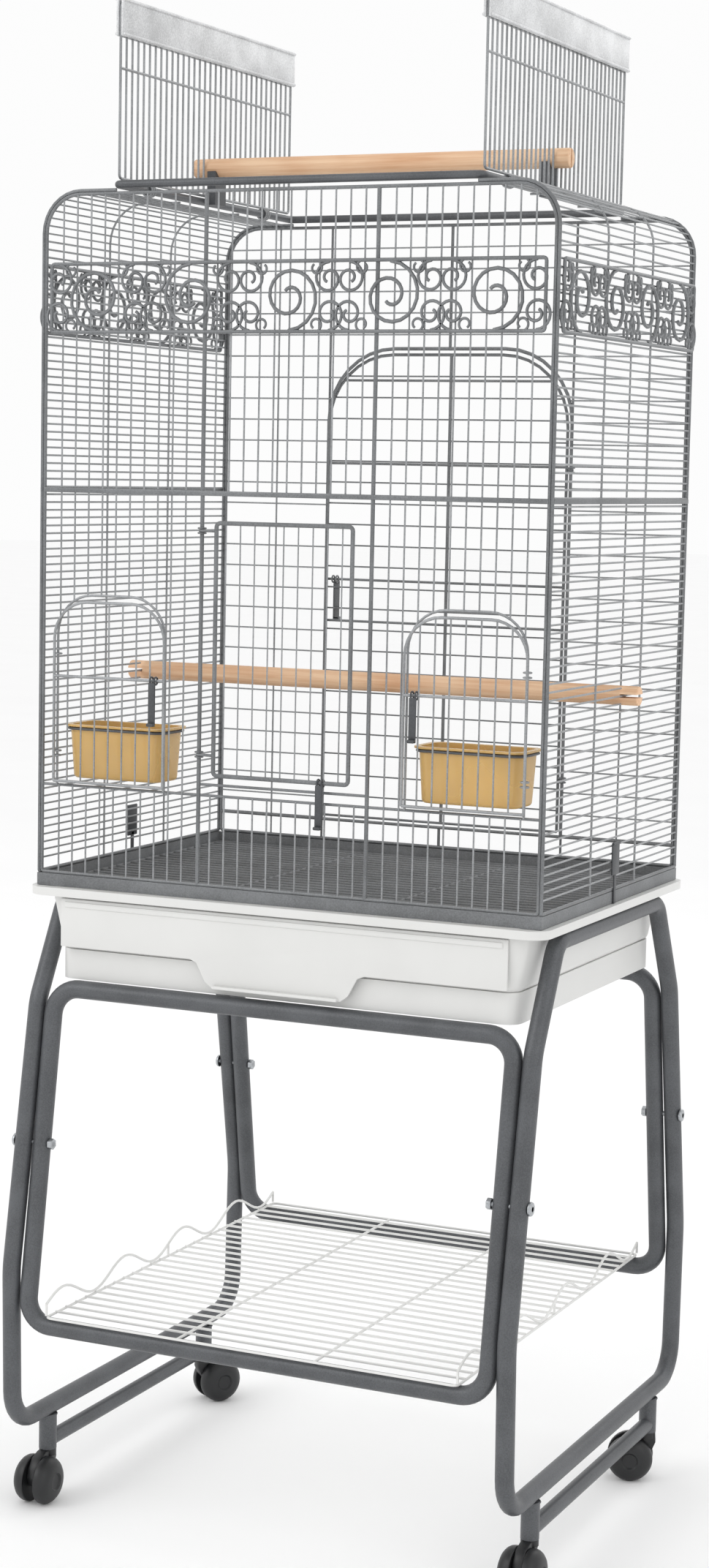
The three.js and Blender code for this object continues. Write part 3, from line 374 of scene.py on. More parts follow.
def amber_styrene(name, colour):
    """Clear-tinted polystyrene, moulded: amber, glossy, and letting part of the light through."""
    material = moulded_plastic(name, colour, 0.26, 1.59, 1.2, shift=0.82)
    shader = next(n for n in material.node_tree.nodes if n.type == "BSDF_PRINCIPLED")
    shader.inputs["Transmission Weight"].default_value = 0.18
    shader.inputs["Subsurface Weight"].default_value = 0.25
    shader.inputs["Subsurface Radius"].default_value = (0.006, 0.004, 0.001)
    return material


def turned_wood(name, light, dark):
    """Turned hardwood dowel, sanded and left bare: growth lines run along it, with short pores in them."""
    material, tree, place, shader = begin(name)
    along = add(tree, "ShaderNodeMapping", {"Vector": place, "Scale": (0.035, 1.0, 1.0)})
    line = add(tree, "ShaderNodeTexNoise", {
        "Vector": along.outputs["Vector"], "Scale": per(3.5), "Detail": 5.0, "Roughness": 0.6,
    })
    fine = {"Vector": along.outputs["Vector"], "Scale": per(0.9), "Detail": 2.0}
    pore = add(tree, "ShaderNodeTexNoise", fine)
    board = add(tree, "ShaderNodeTexNoise", {"Vector": place, "Scale": per(110), "Detail": 2.0})
    mixed = add(tree, "ShaderNodeMath", {0: line.outputs["Fac"], 1: board.outputs["Fac"]}, operation="ADD")
    halved = add(tree, "ShaderNodeMath", {0: mixed.outputs[0], 1: 0.5}, operation="MULTIPLY")
    tone = two_tones(tree, halved.outputs[0], dark, light, 0.36, 0.6)
    tree.links.new(tone, shader.inputs["Base Color"])
    pits = {"Height": pore.outputs["Fac"], "Distance": 0.12 * MM, "Strength": 0.5}
    bump = add(tree, "ShaderNodeBump", pits)
    tree.links.new(bump.outputs["Normal"], shader.inputs["Normal"])
    gloss = add(tree, "ShaderNodeMapRange", {"Value": line.outputs["Fac"], "To Min": 0.5, "To Max": 0.72})
    tree.links.new(gloss.outputs["Result"], shader.inputs["Roughness"])
    shader.inputs["IOR"].default_value = 1.5
    return material


def studio_paper(name, colour):
    """Matt backdrop paper, barely mottled."""
    material, tree, place, shader = begin(name)
    mottle = add(tree, "ShaderNodeTexNoise", {"Vector": place, "Scale": per(400), "Detail": 2.0})
    tone = two_tones(tree, mottle.outputs["Fac"], shaded(colour, 0.985), colour)
    tree.links.new(tone, shader.inputs["Base Color"])
    shader.inputs["Roughness"].default_value = 0.9
    return material


MATERIAL_NAMES = {
    "pewter_coat": "powder_coated_steel_tube_dark_pewter",
    "bar_coat": "powder_coated_steel_bar_mid_grey",
    "wire_coat": "powder_coated_welded_wire_silver_grey",
    "lip_coat": "powder_coated_folded_sheet_steel_pale_grey",
    "grille_coat": "powder_coated_steel_grille_grey",
    "dark_fitting": "powder_coated_stamped_steel_dark_grey",
    "white_plastic": "injection_moulded_polypropylene_white",
    "white_wire": "vinyl_dipped_steel_wire_white",
    "perch_wood": "turned_pine_dowel",
    "amber_plastic": "injection_moulded_styrene_amber",
    "caster_black": "injection_moulded_nylon_black",
    "zinc_bolt": "zinc_plated_steel",
}


def material_of(finish):
    """The material of one finish, made once."""
    made = bpy.data.materials.get(MATERIAL_NAMES[finish])
    if made:
        return made
    c = bpy.context.scene.cage_colours
    makers = {
        "pewter_coat": lambda n: coated_steel(n, tuple(c.stand), 0.46, 2.6, 0.12, 0.3),
        "bar_coat": lambda n: coated_steel(n, tuple(c.bar), 0.44, 2.2, 0.1, 0.3),
        "wire_coat": lambda n: coated_steel(n, tuple(c.wire), 0.42, 1.6, 0.05, 0.3),
        "lip_coat": lambda n: coated_steel(n, tuple(c.lip), 0.4, 2.6, 0.08, 0.1),
        "grille_coat": lambda n: coated_steel(n, tuple(c.grille), 0.55, 2.0, 0.08, 0.1),
        "dark_fitting": lambda n: coated_steel(n, tuple(c.fitting), 0.5, 2.0, 0.08, 0.2),
        "white_plastic": lambda n: moulded_plastic(n, tuple(c.base), 0.42, 1.54, 0.9),
        "white_wire": lambda n: moulded_plastic(n, tuple(c.shelf), 0.36, 1.53, 1.6),
        "perch_wood": lambda n: turned_wood(n, tuple(c.wood_light), tuple(c.wood_dark)),
        "amber_plastic": lambda n: amber_styrene(n, tuple(c.cup)),
        "caster_black": lambda n: moulded_plastic(n, tuple(c.caster), 0.42, 1.53, 0.7, shift=0.7),
        "zinc_bolt": lambda n: zinc_plate(n, tuple(c.bolt)),
    }
    return makers[finish](MATERIAL_NAMES[finish])


def coat_node(node, finish):
    """Give a kept frame node its finish."""
    for place in bpy.data.objects[node].material_slots:
        place.material = material_of(finish)


# ---- settings ---------------------------------------------------------------------------------------------
def length(name, description, mm):
    return bpy.props.FloatProperty(
        name=name, description=description, default=mm * MM, min=0.0, unit="LENGTH", subtype="DISTANCE",
    )


def colour(name, description, code):
    return bpy.props.FloatVectorProperty(
        name=name, description=description, default=linear(code), min=0.0, max=1.0, size=3, subtype="COLOR",
    )


class CageSizes(bpy.types.PropertyGroup):
    wire: length("Wire", "Thickness of the cage wires", 1.8)
    edge_wire: length("Edge wire", "Thickness of the wires round panels and doors", 3.6)
    pitch: length("Front pitch", "Spacing of the upright wires in front", 16)
    side_pitch: length("Side pitch", "Spacing of the cross wires of the side walls", 8)
    rear_pitch: length("Rear pitch", "Spacing of the cross wires of the rear wall", 24)
    flap_pitch: length("Flap pitch", "Spacing of the wires of the roof flaps", 12)
    shelf_wire: length("Shelf wire", "Thickness of the shelf wires", 2.8)
    shelf_pitch: length("Shelf pitch", "Spacing of the shelf wires", 20)
    scroll_wire: length("Scroll wire", "Thickness of the scroll work", 3.8)


class CageColours(bpy.types.PropertyGroup):
    stand: colour("Stand", "Hammertone coat of the stand and frame bars", "#55575a")
    wire: colour("Wire", "Coat of the thin cage wires", "#939597")
    lip: colour("Lips", "Coat of the folded lips on the roof flaps", "#cfd0d1")
    bar: colour("Bars", "Coat of the cage frame bars, doors and scroll bands", "#747678")
    grille: colour("Grille", "Coat of the floor grille and its ring", "#747678")
    fitting: colour("Fittings", "Coat of clips, latches and brackets", "#46484b")
    base: colour("Base", "Pan and tray", "#dcdcda")
    shelf: colour("Shelf", "Plastic-coated shelf wire", "#e4e4e2")
    wood_light: colour("Wood, light", "Early wood of the perches", "#ecc9a6")
    wood_dark: colour("Wood, dark", "Late wood of the perches", "#d3a27b")
    cup: colour("Cups", "Feed cups", "#eac076")
    caster: colour("Casters", "Nylon of the casters", "#1b1c1e")
    bolt: colour("Bolts", "Plating of the bolts", "#b9bcbf")
    floor: colour("Floor", "Backdrop paper", "#fdfdfd")


def sizes():
    """The sizes set by the user, in millimetres."""
    group = bpy.context.scene.cage_sizes
    return {key: getattr(group, key) / MM for key in CageSizes.__annotations__}


# ---- stage ------------------------------------------------------------------------------------------------
class CAGE_OT_stage(bpy.types.Operator):
    """Lay the pale floor, set the soft lights and stand the camera"""
    bl_idname = "cage.stage"
    bl_label = "Stage"

    def execute(self, context):
        bm = bmesh.new()
        bmesh.ops.create_circle(bm, cap_ends=True, segments=96, radius=40)
        mesh = bpy.data.meshes.new("floor")
        bm.to_mesh(mesh)
        bm.free()
        mesh.materials.append(studio_paper("backdrop_paper", tuple(context.scene.cage_colours.floor)))
        floor = bpy.data.objects.new("floor", mesh)
        context.scene.collection.objects.link(floor)
        self.light("key", (-2.2, -2.8, 3.0), 2.4, 30)
        self.light("fill", (3.0, -1.4, 2.0), 2.0, 8)
        self.light("back", (0.6, 3.0, 2.8), 2.2, 12)
        world = bpy.data.worlds.new("studio")
        world.use_nodes = True
        sky = world.node_tree.nodes["Background"]
        sky.inputs["Color"].default_value = (1.0, 1.0, 1.0, 1.0)
        sky.inputs["Strength"].default_value = 0.98
        context.scene.world = world
        context.scene.view_settings.view_transform = "Standard"
        self.camera(context)
        return {"FINISHED"}

    def light(self, name, place, size, power):
        data = bpy.data.lights.new(name, "AREA")
        data.shape = "DISK"
        data.size = size
        data.energy = power
        lamp = bpy.data.objects.new(name, data)
        lamp.location = place
        lamp.rotation_euler = (Vector((0, 0, 0.8)) - Vector(place)).to_track_quat("-Z", "Y").to_euler()
        bpy.context.scene.collection.objects.link(lamp)

    def camera(self, context):
        yaw, pitch, roll = (math.radians(a) for a in (24.75, 6.28, 1.17))
        level = math.cos(pitch)
        forward = Vector((-math.sin(yaw) * level, math.cos(yaw) * level, -math.sin(pitch)))
        level = Vector((math.cos(yaw), math.sin(yaw), 0))
        up = level.cross(forward)
        right = level * math.cos(roll) + up * math.sin(roll)
        top = up * math.cos(roll) - level * math.sin(roll)
        turn = Matrix((right, top, -forward)).transposed().to_4x4()
        data = bpy.data.cameras.new("camera")
        data.sensor_fit = "VERTICAL"
        data.sensor_height = 36
        data.lens = 64.617
        camera = bpy.data.objects.new("camera", data)
        camera.matrix_world = Matrix.Translation((1.2310, -2.6981, 1.0969)) @ turn
        context.scene.collection.objects.link(camera)
        context.scene.camera = camera


# ---- stand ------------------------------------------------------------------------------------------------
def tube(bm, path, closed=True):
    rod(bm, path, TUBE_R, 24, closed)


class CAGE_OT_stand(bpy.types.Operator):
    """Bend the stand's side loops, end frames and caster rails from round tube"""
    bl_idname = "cage.stand"
    bl_label = "Stand Tubes"

    def execute(self, context):
        frame_x = LOOP_X - 2 * TUBE_R - 0.3
        for side, s in SIDES:
            x = s * LOOP_X
            half = [(x, WALL_Y - 51, 647.5), (x, WALL_Y + 4, 545), (x, WALL_Y + 53, 270), (x, WALL_Y + 49, 100)]
            other = [(cx, -cy, cz) for cx, cy, cz in reversed(half)]
            bm = bmesh.new()
            tube(bm, bends(half + other, [25, 60, 120, 38, 38, 120, 60, 25], 8, closed=True))
            keep(bm, f"{side}_loop_tube", ROOT, "pewter_coat", f"{side}_side_loop")
            bm = bmesh.new()
            for end in (-1, 1):
                y = end * (WALL_Y - 23)
                rod(bm, [(x, y, 92), (x, y, 55.5), (x, y, 54)], TUBE_R, 24)
                eye(bm, (x, y, 91.5), (0, 0, 1), TUBE_R, 1.0)
            straight(bm, (x, 23 - WALL_Y, 62.5), (x, WALL_Y - 23, 62.5), 8, 24)
            keep(bm, f"{side}_rail_tube", ROOT, "pewter_coat", f"{side}_caster_rail")
        for end, s in ENDS:
            top, low = s * (WALL_Y + 1), s * (WALL_Y + 54)
            corners = [
                (-frame_x, top, CROSS_TOP_Z), (frame_x, top, CROSS_TOP_Z),
                (frame_x, low, CROSS_LOW_Z), (-frame_x, low, CROSS_LOW_Z),
            ]
            bm = bmesh.new()
            tube(bm, bends(corners, 28, 10, closed=True))
            keep(bm, f"{end}_frame_tube", ROOT, "pewter_coat", f"{end}_stand_frame")
        return {"FINISHED"}


class CAGE_OT_bolts(bpy.types.Operator):
    """Fit the four bolts that hold the stand's frames to its loops"""
    bl_idname = "cage.bolts"
    bl_label = "Frame Bolts"

    def execute(self, context):
        for end, sy in ENDS:
            for side, sx in SIDES:
                node = f"{end}_{side}_frame_bolt"
                lo, hi = span(node)
                y, z = (lo.y + hi.y) / 2, (lo.z + hi.z) / 2
                outer = hi.x if sx > 0 else lo.x
                inner = lo.x if sx > 0 else hi.x
                bm = bmesh.new()
                straight(bm, (inner, y, z), (outer, y, z), 2.7, 12)
                head = bmesh.new()
                straight(head, (outer - sx * 3, y, z), (outer, y, z), 7, 20)
                rim = [e for e in head.edges if all(abs(v.co.x - outer) < 0.1 for v in e.verts)]
                soften(head, rim, 1.6, 3)
                pour(head, bm)
                nut = bmesh.new()
                straight(nut, (inner, y, z), (inner + sx * 5, y, z), 6, 6)
                soften(nut, nut.edges[:], 0.5)
                pour(nut, bm)
                keep(bm, f"{end}_{side}_bolt_and_nut", ROOT, "zinc_bolt", node)
        return {"FINISHED"}


class CAGE_OT_shelf(bpy.types.Operator):
    """Weld the wire shelf, with its waved end rails"""
    bl_idname = "cage.shelf"
    bl_label = "Wire Shelf"

    def execute(self, context):
        s = sizes()
        r = s["shelf_wire"] / 2
        z = SHELF_LO.z + r
        half_x, half_y = SHELF_HI.x - 1.5, SHELF_HI.y - 1.5
        bm = bmesh.new()
        edge = [(-half_x, -half_y, z), (half_x, -half_y, z), (half_x, half_y, z), (-half_x, half_y, z)]
        rod(bm, bends(edge, 6, 4, closed=True), r, 8, closed=True)
        for x in (-half_x / 3, half_x / 3):
            straight(bm, (x, -half_y, z), (x, half_y, z), r)
        count = round(2 * half_y / s["shelf_pitch"])
        for i in range(1, count):
            y = -half_y + 2 * half_y * i / count
            straight(bm, (-half_x, y, z + 1.4), (half_x, y, z + 1.4), r, 6)
        keep(bm, "shelf_wires", ROOT, "white_wire", "shelf_floor")
        for side, sx in SIDES:
            bm = bmesh.new()
            self.waved_rail(bm, f"{side}_shelf_rail", sx * half_x, r)
            keep(bm, f"{side}_waved_rail", ROOT, "white_wire", f"{side}_shelf_rail")
        return {"FINISHED"}

    def waved_rail(self, bm, node, x, r):
        lo, hi = span(node)
        end = hi.y - r
        middle_z, swing = (lo.z + hi.z) / 2, (hi.z - lo.z) / 2 - r
        steps = 64
        wave = []
        for i in range(steps + 1):
            t = i / steps
            wave.append((x, end * (2 * t - 1), middle_z + swing * math.sin(8 * math.pi * t)))
        rod(bm, wave, r, 8)
        for y in (-end, 0, end):
            straight(bm, (x, y, lo.z), (x, y, middle_z), r)


class CAGE_OT_casters(bpy.types.Operator):
    """Mould the four twin-wheel casters, each hood on its swivel and each wheel pair on its axle"""
    bl_idname = "cage.casters"
    bl_label = "Casters"

    def execute(self, context):
        turned = {"front_left": 270, "front_right": 270, "rear_left": 55, "rear_right": 198}
        for key, degrees in turned.items():
            sx = -1 if "left" in key else 1
            sy = -1 if "front" in key else 1
            turn = Matrix.Rotation(math.radians(degrees), 4, "Z")
            stem = Matrix.Translation((sx * LOOP_X, sy * (WALL_Y - 23), 0)) @ turn
            bm = bmesh.new()
            self.hood(bm)
            bmesh.ops.transform(bm, matrix=stem, verts=bm.verts)
            keep(bm, f"{key}_hood", f"{key}_swivel", "caster_black", f"{key}_caster_fork")
            bm = bmesh.new()
            self.wheels(bm)
            bmesh.ops.transform(bm, matrix=stem @ Matrix.Translation((18, 0, 25)), verts=bm.verts)
            keep(bm, f"{key}_wheel_pair", f"{key}_wheels", "caster_black", f"{key}_caster_wheels")
        return {"FINISHED"}

    def hood(self, bm):
        cheek = [
            (-9, 53.5), (-9.6, 43), (-6, 34), (4, 22), (9, 17), (18, 15), (30, 20), (34, 30),
            (31.5, 40), (24, 49), (12, 53.5),
        ]
        plate(bm, [(x, -5.8, z) for x, z in cheek], (0, 11.6, 0), 1.6)
        rod(bm, [(0, 0, 47), (0, 0, 52.5), (0, 0, 54)], 9.2, 24)
        straight(bm, (0, 0, 52), (0, 0, 76), 5, 16)

    def wheels(self, bm):
        half = [
            (4, 6.3), (24.2, 6.3), (25, 7.2), (25, 10.5), (24.3, 13.6), (22.3, 16.8), (19, 19.6), (14.5, 21.5),
            (9.5, 22), (8.6, 21.2), (7.6, 20.2), (0, 19.8),
        ]
        profile = [(r, -y) for r, y in reversed(half)] + half
        points = [bm.verts.new((r, y, 0)) for r, y in profile]
        edges = [bm.edges.new(pair) for pair in zip(points, points[1:])]
        bmesh.ops.spin(
            bm, geom=points + edges, cent=(0, 0, 0), axis=(0, 1, 0), angle=2 * math.pi, steps=48, use_merge=True,
        )
        bmesh.ops.remove_doubles(bm, verts=bm.verts, dist=0.01)
        bmesh.ops.recalc_face_normals(bm, faces=bm.faces)


# ---- base -------------------------------------------------------------------------------------------------
class CAGE_OT_base(bpy.types.Operator):
    """Mould the base pan and its slide-out tray"""
    bl_idname = "cage.base"
    bl_label = "Base Pan and Tray"

    def execute(self, context):
        bm = bmesh.new()
        self.pan(bm)
        keep(bm, "moulded_pan", ROOT, "white_plastic", "base_pan")
        bm = bmesh.new()
        self.tray(bm)
        keep(bm, "moulded_tray", "slide_tray", "white_plastic", "slide_tray")
        return {"FINISHED"}

    def pan(self, bm):
        lo, hi = span("base_pan")
        wall = 3.0
        skirt_x, skirt_y = hi.x - 21.5, hi.y - 8
        top = hi.z - wall
        shell(bm, skirt_x, skirt_y, PAN_FLOOR_Z, top, 16)
        foot = [v for v in bm.verts if v.co.z < PAN_FLOOR_Z + 1]
        bmesh.ops.scale(bm, vec=(PAN_TAPER, PAN_TAPER, 1), verts=foot)
        soften(bm, [e for e in bm.edges if all(v in foot for v in e.verts)], 6, 4)
        rim = [e for e in bm.edges if e.is_boundary]
        rim = self.flange(bm, rim, scale=((hi.x - wall) / skirt_x, (hi.y - wall) / skirt_y))
        self.flange(bm, rim, drop=top - (hi.z - 8.7))
        mouth_x, mouth_z = 244.0, (PAN_FLOOR_Z + 4, top - 11)
        for co, no in (((mouth_x, 0, 0), (1, 0, 0)), ((-mouth_x, 0, 0), (1, 0, 0)),
                       ((0, 0, mouth_z[0] + 2.5), (0, 0, 1)), ((0, 0, mouth_z[1]), (0, 0, 1))):
            bmesh.ops.bisect_plane(bm, geom=bm.verts[:] + bm.edges[:] + bm.faces[:], plane_co=co, plane_no=no)
        gone = []
        for face in bm.faces:
            c = face.calc_center_median()
            if c.y < 20 - skirt_y and abs(c.x) < mouth_x and mouth_z[0] + 2.5 < c.z < mouth_z[1]:
                gone.append(face)
        bmesh.ops.delete(bm, geom=gone, context="FACES")
        thicken(bm, wall)
        self.standing_ring(bm, skirt_x * PAN_TAPER, skirt_y * PAN_TAPER, lo.z, wall)

    def standing_ring(self, bm, half_x, half_y, z, wall):
        """The straight foot under the floor, open below, standing on the crossbars."""
        ring = bmesh.new()
        shell(ring, half_x, half_y, z, PAN_FLOOR_Z + 1, 16)
        under = [f for f in ring.faces if all(v.co.z < z + 1 for v in f.verts)]
        bmesh.ops.delete(ring, geom=under, context="FACES")
        thicken(ring, wall)
        pour(ring, bm)

    def flange(self, bm, edges, scale=(1, 1), drop=0.0):
        """Carry an open edge outwards or down."""
        grown = bmesh.ops.extrude_edge_only(bm, edges=edges)["geom"]
        tips = [g for g in grown if isinstance(g, bmesh.types.BMVert)]
        bmesh.ops.scale(bm, vec=(*scale, 1), verts=tips)
        bmesh.ops.translate(bm, vec=(0, 0, -drop), verts=tips)
        tip_set = set(tips)
        return [g for g in grown if isinstance(g, bmesh.types.BMEdge) and tip_set.issuperset(g.verts)]

    def tray(self, bm):
        lo, hi = span("slide_tray")
        front, back = lo.y + 3, hi.y
        z0, z1 = 603.7, 645.7
        box = bmesh.new()
        shell(box, hi.x - 9, (back - front) / 2, z0, z1, 10)
        soften(box, [e for e in box.edges if all(v.co.z < z0 + 1 for v in e.verts)], 4, 3)
        thicken(box, 2.5)
        bmesh.ops.translate(box, vec=(0, (front + back) / 2, 0), verts=box.verts)
        pour(box, bm)
        half, pull, head = hi.x, lo.z, hi.z
        outline = [
            (-half, lo.y, z0 + 1), (-98, lo.y, z0 + 1), (-90, lo.y, z0 - 2), (-80, lo.y, pull + 6),
            (-72, lo.y, pull), (72, lo.y, pull), (80, lo.y, pull + 6), (90, lo.y, z0 - 2), (98, lo.y, z0 + 1),
            (half, lo.y, z0 + 1), (half, lo.y, head), (-half, lo.y, head),
        ]
        plate(bm, outline, (0, 3, 0), 0.9)
        block(bm, (-half + 5, lo.y - 1.4, head - 9), (half - 5, lo.y + 1, head - 3), 1.2)
        block(bm, (-70, lo.y - 5, pull), (70, lo.y + 1, pull + 3.4), 1.4)


class CAGE_OT_floor_grille(bpy.types.Operator):
    """Weld the floor grille and finish the ring and clips that hold the cage on its base"""
    bl_idname = "cage.floor_grille"
    bl_label = "Floor Grille, Ring and Clips"

    def execute(self, context):
        s = sizes()
        r = 1.5
        z = GRATE_LO.z + r
        half_x, half_y = GRATE_HI.x - r, GRATE_HI.y - r
        bm = bmesh.new()
        edge = [(-half_x, -half_y, z), (half_x, -half_y, z), (half_x, half_y, z), (-half_x, half_y, z)]
        rod(bm, bends(edge, 4, 3, closed=True), r, 8, closed=True)
        count = round(2 * half_y / s["pitch"])
        for i in range(1, count):
            y = -half_y + 2 * half_y * i / count
            straight(bm, (-half_x, y, z), (half_x, y, z), r)
        for x in (-half_x / 3, half_x / 3):
            straight(bm, (x, -half_y, z - 0.8), (x, half_y, z - 0.8), r)
        keep(bm, "grille_wires", ROOT, "grille_coat", "floor_grate")
        coat_node("bottom_frame", "grille_coat")
        for side, s in SIDES:
            bm = bmesh.new()
            self.clip(bm, f"{side}_base_clip", s)
            keep(bm, f"{side}_spring_clip", ROOT, "dark_fitting", f"{side}_base_clip")
        return {"FINISHED"}

    def clip(self, bm, node, side):
        """A spring strip with a thumb plate at its head, its top edge rolled outwards."""
        lo, hi = span(node)
        inner = lo.x if side > 0 else hi.x
        outer = inner + side * (hi.x - lo.x)
        strip = sorted((inner, inner + side * 1.4))
        head = sorted((inner, inner + side * 1.8))
        plate_z = hi.z - 34
        block(bm, (strip[0], -3, lo.z), (strip[1], 3, plate_z + 4), 0.4)
        block(bm, (head[0], lo.y, plate_z), (head[1], hi.y, hi.z - 1), 0.6)
        straight(bm, (outer - side * 1.4, lo.y, hi.z - 1.5), (outer - side * 1.4, hi.y, hi.z - 1.5), 1.4, 12)


# ---- wire walls -------------------------------------------------------------------------------------------
def head_at(x, half, top, radius):
    """Height of a round-shouldered head at x."""
    over = abs(x) - (half - radius)
    return top if over <= 0 else top - radius + math.sqrt(max(radius * radius - over * over, 0))


def reach_at(z, half, top, radius):
    """Half width of a round-shouldered head at height z."""
    over = z - (top - radius)
    return half if over <= 0 else half - radius + math.sqrt(max(radius * radius - over * over, 0))


def lines(limit, pitch, clear=6.0):
    """Wire positions at whole pitches, clear of both ends."""
    count = int((limit - clear) // pitch)
    return [i * pitch for i in range(-count, count + 1)]


def wall_edge(y):
    """The path round the front or rear wall, rounded at both shoulders."""
    r = SHOULDER_R - 3.3
    corners = [(-EDGE_X, y, FOOT_Z), (EDGE_X, y, FOOT_Z), (EDGE_X, y, HEAD_Z), (-EDGE_X, y, HEAD_Z)]
    return bends(corners, [3, 3, r, r], 8, closed=True)


def arch(x0, x1, y, z0, z1, radius, steps=8):
    """A path up one side, over a round-cornered head and down the other."""
    corners = [(x0, y, z0), (x0, y, z1), (x1, y, z1), (x1, y, z0)]
    return bends(corners, [0, radius, radius, 0], steps)


class CAGE_OT_walls(bpy.types.Operator):
    """Weld the four wire walls, the side walls bending over to carry the roof"""
    bl_idname = "cage.walls"
    bl_label = "Wire Walls"

    def execute(self, context):
        walls = {
            "front": self.front,
            "rear": self.rear,
            "left": lambda wires, bars: self.side(wires, bars, -1),
            "right": lambda wires, bars: self.side(wires, bars, 1),
        }
        for name, weld in walls.items():
            wires, bars = bmesh.new(), bmesh.new()
            weld(wires, bars)
            keep(bars, f"{name}_wall_bars", ROOT, "bar_coat", f"{name}_wire_panel")
            keep(wires, f"{name}_wall_wires", ROOT, "wire_coat")
        return {"FINISHED"}

    def front(self, wires, bars):
        s = sizes()
        y, r, edge = -WALL_Y, s["wire"] / 2, s["edge_wire"] / 2
        feeder = (FEEDER_X[0] + FEEDER_X[1]) / 2
        half = (FEEDER_X[1] - FEEDER_X[0]) / 2
        rod(bars, wall_edge(y), edge, 8, closed=True)
        block(bars, (-EDGE_X, y - 2.4, SEAM_Z - 2.5), (EDGE_X, y + 1, SEAM_Z + 2.5), 0.6)
        straight(bars, (-EDGE_X, y + 0.6, SILL_Z), (EDGE_X, y + 0.6, SILL_Z), edge * 0.8)
        straight(bars, (-DOOR_X, y + 0.6, DOOR_SILL_Z), (DOOR_X, y + 0.6, DOOR_SILL_Z), edge * 0.8)
        for x in (-DOOR_X, DOOR_X):
            straight(bars, (x, y, FOOT_Z), (x, y, HEAD_Z), 2.2)
        for side in (-1, 1):
            path = arch(side * FEEDER_X[0], side * FEEDER_X[1], y, SILL_Z, FEEDER_TOP + 1.5, FEEDER_R)
            rod(wires, path, edge * 0.75, 8)
        for x in lines(EDGE_X, s["pitch"]):
            if abs(abs(x) - DOOR_X) < 4:
                continue
            head = head_at(x, EDGE_X, HEAD_Z, SHOULDER_R - 3.3)
            open_to = None
            if abs(x) < DOOR_X:
                open_to = SEAM_Z
            elif FEEDER_X[0] < abs(x) < FEEDER_X[1]:
                open_to = head_at(abs(x) - feeder, half, FEEDER_TOP + 1.5, FEEDER_R)
            if open_to is None:
                straight(wires, (x, y - 0.6, FOOT_Z), (x, y - 0.6, head), r, 6)
            else:
                straight(wires, (x, y - 0.6, FOOT_Z), (x, y - 0.6, SILL_Z), r, 6)
                straight(wires, (x, y - 0.6, open_to), (x, y - 0.6, head), r, 6)

    def rear(self, wires, bars):
        s = sizes()
        y, r, edge = WALL_Y, s["wire"] / 2, s["edge_wire"] / 2
        rod(bars, wall_edge(y), edge, 8, closed=True)
        rod(bars, arch(-REAR_X, REAR_X, y, REAR_Z[0], REAR_Z[1] + 2, REAR_R), 2.0, 8)
        straight(bars, (-EDGE_X, y, REAR_Z[0]), (EDGE_X, y, REAR_Z[0]), edge)
        for x in (-REAR_X, REAR_X):
            straight(bars, (x, y + 0.8, FOOT_Z), (x, y + 0.8, HEAD_Z), edge * 0.8)
        straight(bars, (0, y + 0.8, REAR_Z[1]), (0, y + 0.8, HEAD_Z), edge)
        straight(bars, (0, y + 0.8, FOOT_Z), (0, y + 0.8, REAR_Z[0]), edge)
        side = (REAR_X + EDGE_X) / 2
        for x in (-side, side):
            straight(wires, (x, y + 0.8, FOOT_Z), (x, y + 0.8, HEAD_Z), r * 1.2)
        bend = SHOULDER_R - 3.3
        head = REAR_Z[1] + 2
        count = round((HEAD_Z - FOOT_Z) / s["rear_pitch"])
        for i in range(1, count):
            z = FOOT_Z + (HEAD_Z - FOOT_Z) * i / count
            reach = reach_at(z, EDGE_X, HEAD_Z, bend)
            if REAR_Z[0] < z < head:
                inner = reach_at(z, REAR_X, head, REAR_R)
                straight(wires, (-reach, y, z), (-inner, y, z), r, 6)
                straight(wires, (inner, y, z), (reach, y, z), r, 6)
            else:
                straight(wires, (-reach, y, z), (reach, y, z), r, 6)

    def side(self, wires, bars, s):
        size = sizes()
        r, edge = size["wire"] / 2, size["edge_wire"] / 2
        x, bend_z = s * WALL_X, ROOF_Z - SHOULDER_R
        for y in (-WALL_Y, -WALL_Y / 3, WALL_Y / 3, WALL_Y):
            corners = [(x, y, FOOT_Z), (x, y, ROOF_Z), (s * (HINGE_X - 2), y, ROOF_Z)]
            outer = abs(y) == WALL_Y
            target, thick = (bars, edge) if outer else (wires, r * 1.3)
            rod(target, bends(corners, [0, SHOULDER_R, 0], 8), thick, 8)
        straight(bars, (x, -WALL_Y, FOOT_Z), (x, WALL_Y, FOOT_Z), edge)
        near, far = sorted((x, x + s * 2.4))
        block(bars, (near, -WALL_Y, SEAM_Z - 2.5), (far, WALL_Y, SEAM_Z + 2.5), 0.6)
        pitch = size["side_pitch"]
        z = LINE_Z - pitch * int((LINE_Z - FOOT_Z - 6) // pitch)
        while z < bend_z:
            self.cross_wire(wires, x, z, r * 1.15)
            z += pitch
        run = z - bend_z
        quarter = SHOULDER_R * math.pi / 2
        while run < quarter + (WALL_X - SHOULDER_R - HINGE_X) - 6:
            px, pz = s * (WALL_X - SHOULDER_R - (run - quarter)), ROOF_Z
            if run < quarter:
                a = run / SHOULDER_R
                px = s * (WALL_X - SHOULDER_R + SHOULDER_R * math.cos(a))
                pz = bend_z + SHOULDER_R * math.sin(a)
            straight(wires, (px, -WALL_Y, pz), (px, WALL_Y, pz), r, 6)
            run += pitch

